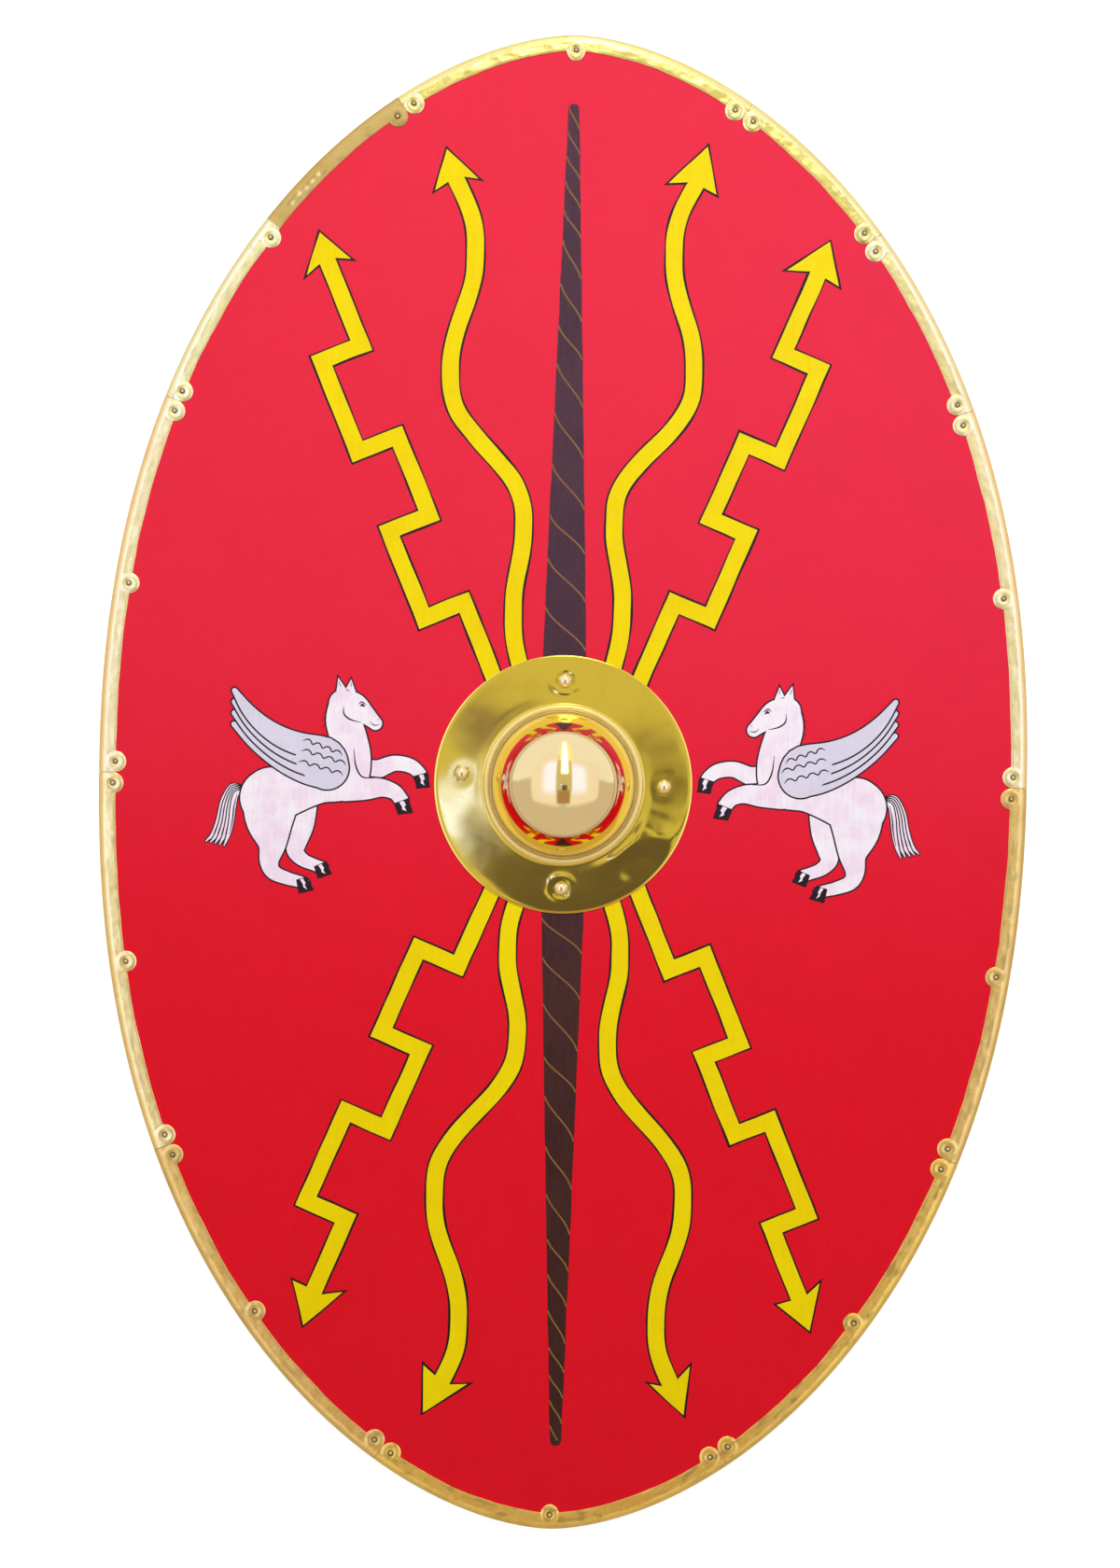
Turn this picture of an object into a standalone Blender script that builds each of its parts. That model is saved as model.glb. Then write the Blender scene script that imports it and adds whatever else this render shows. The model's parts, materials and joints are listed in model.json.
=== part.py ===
"""Clipeus: a flat oval Roman auxiliary shield with a brass rim and boss, lying face up.

Metres. +Z points out of the painted face, +Y to the shield's top and +X across it.
The origin is under the shield's middle, on the floor: Z = 0 is the underside of the hand
grip, on which the shield lies. Pieces that touch keep a gap of GAP between them.
"""
import math
import random

import bmesh
import bpy
from mathutils import Vector
from mathutils.geometry import delaunay_2d_cdt

GAP = 0.0003

# Outline of the rim's outer edge: an oval fuller than an ellipse, a little wider above.
HALF_HEIGHT = 0.5335
HALF_WIDTH = 0.3314
FULLNESS = 2.2336
SHOULDER = 0.574
EGG = 0.0098
OUTLINE_STEPS = 2400

# Layers, from the grip on the back to the boss on the front.
GRIP_END_THICKNESS = 0.012
BOARD_THICKNESS = 0.008
FACING_THICKNESS = 0.0006
RIM_SHEET = 0.0008
BOSS_SHEET = 0.0012

BOARD_BACK = GRIP_END_THICKNESS + GAP
BOARD_FRONT = BOARD_BACK + BOARD_THICKNESS
FACING_BACK = BOARD_FRONT + GAP
FACING_FRONT = FACING_BACK + FACING_THICKNESS
FLANGE_BACK = FACING_FRONT + GAP

# Rim: strips of brass sheet folded over the board's edge, with a round lobe at each nail.
RIM_TOP = FLANGE_BACK + RIM_SHEET
RIM_BOTTOM = BOARD_BACK - GAP - RIM_SHEET
RIM_BEND = 0.0042
FRONT_FLANGE = 0.012
BACK_FLANGE = 0.0082
FULL_STRIPS = 10
SPLIT_JOINT = 0.098
INTERVAL = 0.0457
LOBE_RADIUS = 0.00755
LOBE_SEGMENTS = 5
NAIL_DEPTH = 0.0112
NAIL_DEPTH_VARIES = 0.0011
NAIL_HEAD_RADIUS = 0.00185
NAIL_HEAD_HEIGHT = 0.0012
NAIL_SHANK_RADIUS = 0.0008
NAIL_TAIL_RADIUS = 0.0014
NAIL_TAIL_HEIGHT = 0.0006
NAIL_SIDES = 6

# Boss: a hollow hemisphere in a bead, on a round flange held by four rivets.
BOSS_CENTRE = (0.0002, -0.0018)
FLANGE_RADIUS = 0.0922
BEAD_OUTER = 0.0573
BEAD_INNER = 0.0524
BEAD_HEIGHT = 0.0024
DOME_RADIUS = 0.0512
DOME_RINGS = 6
BOSS_SIDES = 32
HAND_HOLE_RADIUS = 0.052
HAND_HOLE_SIDES = 32
BOSS_RIVETS = {
    "top": (0.0002, 0.0723),
    "right": (0.0723, -0.0022),
    "bottom": (0.0002, -0.0759),
    "left": (-0.0723, 0.0049),
}
RIVET_HEAD_RADIUS = 0.00485
RIVET_HEAD_HEIGHT = 0.0031
RIVET_SHANK_RADIUS = 0.0025
RIVET_TAIL_RADIUS = 0.0040
RIVET_TAIL_HEIGHT = 0.0014
RIVET_SIDES = 10
RIVET_HOLE_RADIUS = 0.0031
RIVET_HOLE_SIDES = 8

# Grip: a wooden bar across the hand hole, deeper in the middle, under two boss rivets.
GRIP_HALF_LENGTH = 0.098
GRIP_HALF_WIDTH = 0.015
GRIP_HANDLE_HALF_WIDTH = 0.0125
GRIP_HANDLE_THICKNESS = 0.0205
COUNTERBORE_RADIUS = 0.0047
COUNTERBORE_DEPTH = 0.0032


# ---------------------------------------------------------------- materials and objects

def make_material(name, colour, roughness, metallic=0.0):
    material = bpy.data.materials.new(name)
    material.use_nodes = True
    shader = material.node_tree.nodes["Principled BSDF"]
    shader.inputs["Base Color"].default_value = (*colour, 1.0)
    shader.inputs["Roughness"].default_value = roughness
    shader.inputs["Metallic"].default_value = metallic
    return material


def add_object(name, mesh, material, flat_angle=35.0):
    """Close a bmesh into a named object, shaded smooth with sharp edges."""
    bmesh.ops.recalc_face_normals(mesh, faces=mesh.faces)
    data = bpy.data.meshes.new(name)
    mesh.to_mesh(data)
    mesh.free()
    data.shade_smooth()
    data.set_sharp_from_angle(angle=math.radians(flat_angle))
    data.materials.append(material)
    piece = bpy.data.objects.new(name, data)
    bpy.context.scene.collection.objects.link(piece)
    return piece


# ---------------------------------------------------------------- the oval outline

def oval_point(turn):
    """Point of the rim's outer edge; turn goes from 0 to 1 clockwise from the top."""
    angle = turn * math.tau
    height = math.cos(angle)
    reach = max(0.0, 1.0 - abs(height) ** FULLNESS) ** SHOULDER
    half_width = HALF_WIDTH * (1.0 + EGG * height) * reach
    return Vector((math.copysign(half_width, math.sin(angle)), HALF_HEIGHT * height))


def measure_oval():
    """The outline's points and their distances from the top, measured along the rim."""
    points = [oval_point(step / OUTLINE_STEPS) for step in range(OUTLINE_STEPS + 1)]
    distances = [0.0]
    for before, after in zip(points, points[1:]):
        distances.append(distances[-1] + (after - before).length)
    return points, distances


OVAL_POINTS, OVAL_DISTANCES = measure_oval()
PERIMETER = OVAL_DISTANCES[-1]


def edge_point(distance):
    """Point of the outer edge at a distance along it, clockwise from the top."""
    distance %= PERIMETER
    low, high = 0, OUTLINE_STEPS
    while high - low > 1:
        middle = (low + high) // 2
        if OVAL_DISTANCES[middle] <= distance:
            low = middle
        else:
            high = middle
    part = (distance - OVAL_DISTANCES[low]) / (OVAL_DISTANCES[high] - OVAL_DISTANCES[low])
    return OVAL_POINTS[low].lerp(OVAL_POINTS[high], part)


def inset_point(distance, depth):
    """Point at a distance along the rim and a depth in from its outer edge."""
    reach = 0.004
    along = (edge_point(distance + reach) - edge_point(distance - reach)).normalized()
    return edge_point(distance) + depth * Vector((along.y, -along.x))


# ---------------------------------------------------------------- flat shapes with holes

def circle(centre, radius, sides):
    return [Vector((centre[0] + radius * math.cos(math.tau * side / sides),
                    centre[1] + radius * math.sin(math.tau * side / sides)))
            for side in range(sides)]


def contains(loop, point):
    """Whether a point is inside a closed loop of points."""
    inside = False
    for start, end in zip(loop, loop[1:] + loop[:1]):
        if (start.y > point.y) != (end.y > point.y):
            crossing = start.x + (point.y - start.y) / (end.y - start.y) * (end.x - start.x)
            if point.x < crossing:
                inside = not inside
    return inside


def fill_with_triangles(outline, holes, rings=(), lines=()):
    """Triangles that fill an outline around its holes, with rings and lines kept as edges.

    Gives the points, the triangles and, for each point, the loop it came from (0 for the
    outline, then the holes, then the rings), or None.
    """
    points, edges, loop_of = [], [], []
    for number, loop in enumerate([outline, *holes, *rings]):
        first = len(points)
        points += loop
        loop_of += [number] * len(loop)
        edges += [(first + i, first + (i + 1) % len(loop)) for i in range(len(loop))]
    for start, end in lines:
        edges.append((len(points), len(points) + 1))
        points += [start, end]
        loop_of += [None, None]
    filled, _, faces, sources, _, _ = delaunay_2d_cdt(points, edges, [], 0, 1e-7)
    triangles = []
    for face in faces:
        centre = sum((filled[i] for i in face), Vector((0, 0))) / 3
        if contains(outline, centre) and not any(contains(hole, centre) for hole in holes):
            triangles.append(tuple(face))
    origins = [min((loop_of[i] for i in ids if loop_of[i] is not None), default=None)
               for ids in sources]
    return filled, triangles, origins


def thick_sheet(name, triangles, lower, upper, material):
    """A closed solid between two layers of the same triangles, given as 3-D points."""
    mesh = bmesh.new()
    used = sorted({corner for triangle in triangles for corner in triangle})
    low = {i: mesh.verts.new(lower[i]) for i in used}
    high = {i: mesh.verts.new(upper[i]) for i in used}
    sides = set()
    for triangle in triangles:
        mesh.faces.new([high[i] for i in triangle])
        mesh.faces.new([low[i] for i in reversed(triangle)])
        sides |= set(zip(triangle, triangle[1:] + triangle[:1]))
    for start, end in sides:
        if (end, start) not in sides:
            mesh.faces.new((low[start], low[end], high[end], high[start]))
    return add_object(name, mesh, material)


# ---------------------------------------------------------------- rim layout

def joint_distances():
    """Distances along the rim of the joints between strips: ten tenths, one of them split."""
    shares = [(k + 0.5) / FULL_STRIPS for k in range(FULL_STRIPS)] + [SPLIT_JOINT]
    return [share * PERIMETER for share in sorted(shares)]


def lay_out_rim():
    """The strips, each with its start, end, stations and nails as (distance, depth)."""
    dice = random.Random(7)
    joints = joint_distances()
    strips = []
    for start, end in zip(joints, joints[1:] + [joints[0] + PERIMETER]):
        intervals = round((end - start) / INTERVAL)
        stations = [start + (end - start) * k / intervals for k in range(intervals + 1)]
        places = [start + LOBE_RADIUS + GAP / 2, end - LOBE_RADIUS - GAP / 2]
        if end - start > PERIMETER / FULL_STRIPS * 0.9:
            places.insert(1, (start + end) / 2)
        nails = [(place, NAIL_DEPTH + dice.uniform(-1, 1) * NAIL_DEPTH_VARIES)
                 for place in places]
        strips.append({"stations": stations, "nails": nails})
    return strips


STRIPS = lay_out_rim()
NAILS = [nail for strip in STRIPS for nail in strip["nails"]]
STATIONS = [station for strip in STRIPS for station in strip["stations"][:-1]]


def square_hole(distance, depth, spread):
    """A square hole's corners for a nail, set square to the rim."""
    return [inset_point(distance + x * spread, depth + y * spread)
            for x, y in ((-1, -1), (1, -1), (1, 1), (-1, 1))]


NAIL_HOLE = NAIL_SHANK_RADIUS + GAP


# ---------------------------------------------------------------- rim strips

def fold_corners(radius):
    """Depth and height of the fold's corners from back to front, on one face of the sheet."""
    front = []
    for degrees in (0, 45, 90):
        angle = math.radians(degrees)
        front.append((RIM_BEND - radius * math.sin(angle),
                      RIM_TOP - RIM_BEND + radius * math.cos(angle)))
    back = [(depth, RIM_TOP + RIM_BOTTOM - height) for depth, height in front]
    return back + front[::-1]


def unfolded_positions():
    """Where the fold's corners lie on the sheet laid flat, with 0 at mid edge."""
    corners = [Vector(corner) for corner in fold_corners(RIM_BEND)]
    positions = [0.0]
    for before, after in zip(corners, corners[1:]):
        positions.append(positions[-1] + (after - before).length)
    middle = positions[-1] / 2
    return [position - middle for position in positions]


FOLDS = unfolded_positions()
FRONT_EDGE = FOLDS[-1] + FRONT_FLANGE - RIM_BEND
BACK_EDGE = FOLDS[0] - (BACK_FLANGE - RIM_BEND)


def folded(across, radius):
    """Depth and height of a place across the flat sheet once it is folded."""
    corners = fold_corners(radius)
    if across >= FOLDS[-1]:
        return corners[-1][0] + across - FOLDS[-1], corners[-1][1]
    if across <= FOLDS[0]:
        return corners[0][0] + FOLDS[0] - across, corners[0][1]
    for k in range(len(FOLDS) - 1):
        if across <= FOLDS[k + 1]:
            part = (across - FOLDS[k]) / (FOLDS[k + 1] - FOLDS[k])
            start, end = Vector(corners[k]), Vector(corners[k + 1])
            return tuple(start.lerp(end, part))


def front_edge(stations, nails, start, end):
    """The flat sheet's front edge from start to end, swelling into a lobe at each nail."""
    edge = []
    for number, (place, depth) in enumerate(nails):
        centre = FOLDS[-1] + depth - RIM_BEND
        dip = math.asin(max(-1.0, min(1.0, (FRONT_EDGE - centre) / LOBE_RADIUS)))
        first = math.pi if number == 0 else math.pi - dip
        last = 0.0 if number == len(nails) - 1 else dip
        for k in range(LOBE_SEGMENTS + 1):
            angle = first + (last - first) * k / LOBE_SEGMENTS
            edge.append(Vector((place + LOBE_RADIUS * math.cos(angle),
                                centre + LOBE_RADIUS * math.sin(angle))))
    clear = LOBE_RADIUS * 1.5
    edge += [Vector((station, FRONT_EDGE)) for station in stations[1:-1]
             if all(abs(station - place) > clear for place, _ in nails)]
    edge.sort(key=lambda point: point.x)
    edge[0].x = start
    edge[-1].x = end
    return edge


def make_rim_strip(name, strip, material):
    """One strip: its flat pattern is filled with triangles, then folded round the edge."""
    stations = strip["stations"]
    start, end = stations[0] + GAP / 2, stations[-1] - GAP / 2
    inner = stations[1:-1]
    outline = front_edge(stations, strip["nails"], start, end)
    outline += [Vector((x, BACK_EDGE)) for x in [end, *reversed(inner), start]]
    holes = []
    for place, depth in strip["nails"]:
        centre = FOLDS[-1] + depth - RIM_BEND
        holes.append([Vector((place + x * NAIL_HOLE, centre + y * NAIL_HOLE))
                      for x, y in ((-1, -1), (1, -1), (1, 1), (-1, 1))])
    lines = [(Vector((start, fold)), Vector((end, fold))) for fold in FOLDS]
    lines += [(Vector((x, FOLDS[0])), Vector((x, FOLDS[-1]))) for x in inner]
    flat, triangles, _ = fill_with_triangles(outline, holes, lines=lines)

    def fold_up(radius):
        layer = []
        for distance, across in flat:
            depth, height = folded(across, radius)
            layer.append((*inset_point(distance, depth), height))
        return layer

    return thick_sheet(name, triangles, fold_up(RIM_BEND - RIM_SHEET), fold_up(RIM_BEND),
                       material)


def make_nail(name, distance, depth, material):
    """A small rivet-nail: low domed head, shank through the board, peened tail behind it."""
    seat = RIM_TOP + GAP
    back = BOARD_BACK - GAP
    profile = [(NAIL_HEAD_RADIUS, seat), (NAIL_SHANK_RADIUS, seat),
               (NAIL_SHANK_RADIUS, back), (NAIL_TAIL_RADIUS, back - NAIL_TAIL_HEIGHT)]
    centre = inset_point(distance, depth)
    mesh = bmesh.new()
    rings = [[mesh.verts.new((*point, height)) for point in circle(centre, radius, NAIL_SIDES)]
             for radius, height in profile]
    crown = mesh.verts.new((*centre, seat + NAIL_HEAD_HEIGHT))
    for k in range(NAIL_SIDES):
        after = (k + 1) % NAIL_SIDES
        mesh.faces.new((crown, rings[0][k], rings[0][after]))
        for upper, lower in zip(rings, rings[1:]):
            mesh.faces.new((upper[k], lower[k], lower[after], upper[after]))
    mesh.faces.new(rings[-1])
    return add_object(name, mesh, material)


# ---------------------------------------------------------------- board and facing

def through_holes():
    """The holes that go through both the board and its facing."""
    holes = [square_hole(distance, depth, NAIL_HOLE) for distance, depth in NAILS]
    holes += [circle(place, RIVET_HOLE_RADIUS, RIVET_HOLE_SIDES)
              for place in BOSS_RIVETS.values()]
    holes.append(circle(BOSS_CENTRE, HAND_HOLE_RADIUS, HAND_HOLE_SIDES))
    return holes


def make_board(material):
    """The plywood board, with its edge eased to fit inside the folded rim."""
    edge_inset = RIM_SHEET + GAP
    easing = RIM_BEND - edge_inset
    outline = [inset_point(station, edge_inset) for station in STATIONS]
    face_ring = [inset_point(station, RIM_BEND) for station in STATIONS]
    flat, triangles, origins = fill_with_triangles(outline, through_holes(), [face_ring])
    lower, upper = [], []
    for point, origin in zip(flat, origins):
        eased = easing if origin == 0 else 0.0
        lower.append((*point, BOARD_BACK + eased))
        upper.append((*point, BOARD_FRONT - eased))
    return thick_sheet("board", triangles, lower, upper, material)


def make_facing(material):
    """The linen glued over the board's front, its edge tucked under the rim."""
    outline = [inset_point(station, RIM_BEND) for station in STATIONS]
    flat, triangles, _ = fill_with_triangles(outline, through_holes())
    lower = [(*point, FACING_BACK) for point in flat]
    upper = [(*point, FACING_FRONT) for point in flat]
    return thick_sheet("linen_facing", triangles, lower, upper, material)


# ---------------------------------------------------------------- boss and its rivets

def spun(name, profile, sides, centre, material):
    """A solid of revolution from a (radius, height) profile that starts and ends on the axis
    or closes on itself."""
    mesh = bmesh.new()
    corners = [mesh.verts.new((centre[0] + radius, centre[1], height))
               for radius, height in profile]
    edges = [mesh.edges.new(pair) for pair in zip(corners, corners[1:])]
    bmesh.ops.spin(mesh, geom=corners + edges, cent=(*centre, 0), axis=(0, 0, 1),
                   angle=math.tau, steps=sides, use_merge=True)
    bmesh.ops.remove_doubles(mesh, verts=mesh.verts, dist=1e-6)
    return add_object(name, mesh, material)


def add_cutter(name, places, radius, low, high, sides):
    """Upright pegs, joined in one hidden object, that a Boolean takes away."""
    mesh = bmesh.new()
    for place in places:
        lower = [mesh.verts.new((*point, low)) for point in circle(place, radius, sides)]
        upper = [mesh.verts.new((*point, high)) for point in circle(place, radius, sides)]
        mesh.faces.new(lower)
        mesh.faces.new(upper)
        for k in range(sides):
            after = (k + 1) % sides
            mesh.faces.new((lower[k], lower[after], upper[after], upper[k]))
    cutter = add_object(name, mesh, None)
    cutter.hide_render = True
    cutter.display_type = "WIRE"
    return cutter


def cut_away(piece, cutter):
    modifier = piece.modifiers.new(cutter.name, "BOOLEAN")
    modifier.operation = "DIFFERENCE"
    modifier.solver = "EXACT"
    modifier.object = cutter


def make_boss(material):
    """The boss: flange, bead, groove and dome, spun from one sheet, with four rivet holes."""
    bottom = FLANGE_BACK
    top = bottom + BOSS_SHEET
    bead_middle = (BEAD_OUTER + BEAD_INNER) / 2
    profile = [(FLANGE_RADIUS, bottom), (FLANGE_RADIUS, top), (BEAD_OUTER, top),
               (BEAD_OUTER - 0.0011, top + BEAD_HEIGHT * 0.75),
               (bead_middle, top + BEAD_HEIGHT),
               (BEAD_INNER + 0.0009, top + BEAD_HEIGHT * 0.75),
               (BEAD_INNER, top + BEAD_HEIGHT * 0.25)]
    for ring in range(DOME_RINGS):
        angle = math.radians(3 + 87 * ring / DOME_RINGS)
        profile.append((DOME_RADIUS * math.cos(angle), top + DOME_RADIUS * math.sin(angle)))
    profile.append((0, top + DOME_RADIUS))
    inside_radius = DOME_RADIUS - BOSS_SHEET
    profile.append((0, top + inside_radius))
    for ring in reversed(range(DOME_RINGS)):
        angle = math.radians(87 * ring / DOME_RINGS)
        profile.append((inside_radius * math.cos(angle), top + inside_radius * math.sin(angle)))
    profile += [(inside_radius + 0.0008, bottom), (BEAD_INNER + 0.001, bottom),
                (bead_middle, bottom + BEAD_HEIGHT * 0.6), (BEAD_OUTER - 0.001, bottom),
                (FLANGE_RADIUS, bottom)]
    boss = spun("boss", profile, BOSS_SIDES, BOSS_CENTRE, material)
    cutter = add_cutter("boss_rivet_holes", BOSS_RIVETS.values(), RIVET_HOLE_RADIUS,
                        bottom - 0.001, top + 0.001, RIVET_HOLE_SIDES)
    cut_away(boss, cutter)
    return boss


def make_boss_rivet(name, place, tail_seat, material):
    """A domed rivet through the boss's flange, with its tail peened at tail_seat."""
    seat = FLANGE_BACK + BOSS_SHEET + GAP
    profile = [(0, seat + RIVET_HEAD_HEIGHT),
               (RIVET_HEAD_RADIUS * 0.5, seat + RIVET_HEAD_HEIGHT * 0.88),
               (RIVET_HEAD_RADIUS * 0.87, seat + RIVET_HEAD_HEIGHT * 0.5),
               (RIVET_HEAD_RADIUS, seat), (RIVET_SHANK_RADIUS, seat),
               (RIVET_SHANK_RADIUS, tail_seat), (RIVET_TAIL_RADIUS, tail_seat),
               (RIVET_TAIL_RADIUS * 0.8, tail_seat - RIVET_TAIL_HEIGHT),
               (0, tail_seat - RIVET_TAIL_HEIGHT)]
    return spun(name, profile, RIVET_SIDES, place, material)


# ---------------------------------------------------------------- grip

def grip_section(x, half_width, top, easing):
    """A rectangle with eased corners across the bar, resting on Z = 0."""
    return [(x, -half_width + easing, 0), (x, half_width - easing, 0),
            (x, half_width, easing), (x, half_width, top - easing),
            (x, half_width - easing, top), (x, -half_width + easing, top),
            (x, -half_width, top - easing), (x, -half_width, easing)]


def make_grip(material):
    """The grip bar: thin flat ends against the board, a deeper handle in the hand hole."""
    thin, deep = GRIP_END_THICKNESS, GRIP_HANDLE_THICKNESS
    wide, narrow = GRIP_HALF_WIDTH, GRIP_HANDLE_HALF_WIDTH
    half = [(0.0, narrow + 0.0008, deep, 0.0052), (0.022, narrow, deep - 0.0004, 0.005),
            (0.036, narrow, deep - 0.002, 0.0045), (0.046, narrow + 0.001, thin, 0.003),
            (0.056, wide, thin, 0.0018), (GRIP_HALF_LENGTH - 0.006, wide, thin, 0.0018),
            (GRIP_HALF_LENGTH, wide - 0.005, thin - 0.003, 0.0018)]
    sections = [(-x, *rest) for x, *rest in reversed(half[1:])] + half
    mesh = bmesh.new()
    rings = [[mesh.verts.new(corner) for corner in grip_section(*section)]
             for section in sections]
    for before, after in zip(rings, rings[1:]):
        for k in range(len(before)):
            following = (k + 1) % len(before)
            mesh.faces.new((before[k], after[k], after[following], before[following]))
    mesh.faces.new(rings[0])
    mesh.faces.new(rings[-1])
    grip = add_object("grip", mesh, material)
    ends = [BOSS_RIVETS["left"], BOSS_RIVETS["right"]]
    cut_away(grip, add_cutter("grip_rivet_holes", ends, RIVET_HOLE_RADIUS, -0.001, 0.03,
                              RIVET_HOLE_SIDES))
    cut_away(grip, add_cutter("grip_counterbores", ends, COUNTERBORE_RADIUS,
                              -0.001, COUNTERBORE_DEPTH, RIVET_SIDES))
    return grip


# ---------------------------------------------------------------- the whole shield

def main():
    for leftover in list(bpy.data.objects):
        bpy.data.objects.remove(leftover)

    brass = make_material("brass", (0.72, 0.52, 0.18), 0.28, 1.0)
    nail_brass = make_material("nail_brass", (0.66, 0.49, 0.20), 0.35, 1.0)
    plywood = make_material("plywood", (0.55, 0.38, 0.22), 0.6)
    linen = make_material("painted_linen", (0.78, 0.02, 0.05), 0.7)
    oak = make_material("grip_wood", (0.42, 0.25, 0.12), 0.5)

    make_board(plywood)
    make_facing(linen)
    for number, strip in enumerate(STRIPS, start=1):
        make_rim_strip(f"rim_strip_{number:02d}", strip, brass)
    for number, (distance, depth) in enumerate(NAILS, start=1):
        make_nail(f"rim_nail_{number:02d}", distance, depth, nail_brass)
    make_boss(brass)
    make_grip(oak)
    behind_board = BOARD_BACK - GAP
    in_grip = COUNTERBORE_DEPTH - GAP
    for side, place in BOSS_RIVETS.items():
        tail_seat = in_grip if side in ("left", "right") else behind_board
        make_boss_rivet(f"boss_rivet_{side}", place, tail_seat, brass)


main()
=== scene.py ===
"""Clipeus: the looks of a flat oval auxiliary shield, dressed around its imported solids.

Metres, but for the painting's tables, which are in mm. The shield lies face up: +Z points
out of the painted face, +Y to its top and +X across it. Every piece sits where its solid
does, and the sizes below repeat the solids' own.
"""

import json
import math

import bmesh
import bpy
import numpy as np
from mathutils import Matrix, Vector, noise
from mathutils.geometry import delaunay_2d_cdt

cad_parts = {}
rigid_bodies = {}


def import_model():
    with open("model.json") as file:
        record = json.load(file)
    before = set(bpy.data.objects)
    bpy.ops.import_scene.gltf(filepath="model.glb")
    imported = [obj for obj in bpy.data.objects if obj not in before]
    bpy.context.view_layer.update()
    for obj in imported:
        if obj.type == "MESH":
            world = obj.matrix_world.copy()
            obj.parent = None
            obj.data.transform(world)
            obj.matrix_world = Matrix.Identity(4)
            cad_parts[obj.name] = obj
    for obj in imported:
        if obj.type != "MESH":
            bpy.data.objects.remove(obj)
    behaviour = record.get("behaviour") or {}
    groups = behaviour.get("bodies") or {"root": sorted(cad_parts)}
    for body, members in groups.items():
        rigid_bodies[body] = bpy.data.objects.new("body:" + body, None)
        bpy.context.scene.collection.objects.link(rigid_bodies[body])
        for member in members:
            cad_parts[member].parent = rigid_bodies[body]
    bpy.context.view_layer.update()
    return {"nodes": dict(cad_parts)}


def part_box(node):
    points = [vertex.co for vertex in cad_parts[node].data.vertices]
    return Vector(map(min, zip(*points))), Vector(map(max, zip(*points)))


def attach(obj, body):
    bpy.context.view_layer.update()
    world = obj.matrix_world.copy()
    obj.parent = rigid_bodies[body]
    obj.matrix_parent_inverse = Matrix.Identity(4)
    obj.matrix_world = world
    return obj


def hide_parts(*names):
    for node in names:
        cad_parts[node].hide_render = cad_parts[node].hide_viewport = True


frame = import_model()
MM = 0.001

# The rim's outer edge.
HALF_HEIGHT = 0.5335
HALF_WIDTH = 0.3314
FULLNESS = 2.2336
SHOULDER = 0.574
EGG = 0.0098
OUTLINE_STEPS = 2400

# Layers.
FACING_FRONT = 0.0212
FACING_THICKNESS = 0.0006
RIM_SHEET = 0.0008
RIM_TOP = 0.0223
RIM_BOTTOM = 0.0112
RIM_BEND = 0.0042
FLANGE_TOP = 0.0227
BOSS_SHEET = 0.0012
BEHIND_BOARD = 0.0120
IN_COUNTERBORE = 0.0029

# Rim.
FRONT_FLANGE = 0.0120
BACK_FLANGE = 0.0082
FULL_STRIPS = 10
SPLIT_JOINT = 0.098
JOINT_GAP = 0.0003
LOBE_RADIUS = 0.00755
NAIL_COUNT = 31
NAIL_HEAD_RADIUS = 0.00185
NAIL_SHANK_RADIUS = 0.0008

# Boss, its rivets and the grip.
BOSS_CENTRE = (0.0002, -0.0018)
FLANGE_RADIUS = 0.0922
BEAD_OUTER = 0.0573
BEAD_INNER = 0.0524
BEAD_HEIGHT = 0.0024
DOME_RADIUS = 0.0512
HAND_HOLE_RADIUS = 0.052
RIVET_HOLE_RADIUS = 0.0031
RIVET_HEAD_RADIUS = 0.00485
GRIP_HALF_LENGTH = 0.098
GRIP_HALF_WIDTH = 0.015
GRIP_END_THICKNESS = 0.012
GRIP_HANDLE_THICKNESS = 0.0205
COUNTERBORE_RADIUS = 0.0047
COUNTERBORE_DEPTH = 0.0032

# The two kinds of pin: head and tail as (radius, height), where the head sits, how finely
# it is turned, its slot, and how much painted shade darkens its edge.
NAIL = {"head": (NAIL_HEAD_RADIUS, 0.0012), "shank": NAIL_SHANK_RADIUS, "tail": (0.0014, 0.0006),
        "seat": 0.0226, "segments": 16, "rings": 8, "slot": "nail_brass", "painted_shade": 0.9}
RIVET = {"head": (RIVET_HEAD_RADIUS, 0.0031), "shank": 0.0025, "tail": (0.0040, 0.0014),
         "seat": 0.0230, "segments": 40, "rings": 24, "slot": "rivet_brass", "painted_shade": 0.0}


# -------------------- working by hand

def only(piece):
    """Selects one piece alone and makes it active."""
    bpy.ops.object.select_all(action="DESELECT")
    piece.select_set(True)
    bpy.context.view_layer.objects.active = piece
    return piece


def named(name, **settings):
    """Names the piece just added, and moves its place and size into its mesh."""
    piece = bpy.context.object
    piece.name = piece.data.name = name
    for key, value in settings.items():
        setattr(piece, key, value)
    only(piece)
    bpy.ops.object.transform_apply(location=True, rotation=True, scale=True)
    return piece


def finish_modifier(piece, kind, **settings):
    """Adds a modifier to a piece and applies it."""
    only(piece)
    modifier = piece.modifiers.new(kind.lower(), kind)
    for name, value in settings.items():
        setattr(modifier, name, value)
    bpy.ops.object.modifier_apply(modifier=modifier.name)


def round_edges(piece, width, segments, degrees):
    """Rounds the edges that are sharper than some degrees."""
    finish_modifier(piece, "BEVEL", width=width, segments=segments, limit_method="ANGLE",
                    angle_limit=math.radians(degrees))


def mesh_piece(name, points, faces):
    """A new piece from points and faces, at the origin."""
    data = bpy.data.meshes.new(name)
    data.from_pydata([tuple(map(float, point)) for point in points], [],
                     [tuple(map(int, face)) for face in faces])
    data.update()
    piece = bpy.data.objects.new(name, data)
    bpy.context.scene.collection.objects.link(piece)
    return only(piece)


def smooth_shade(piece, degrees):
    only(piece)
    bpy.ops.object.shade_smooth_by_angle(angle=math.radians(degrees))


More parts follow.
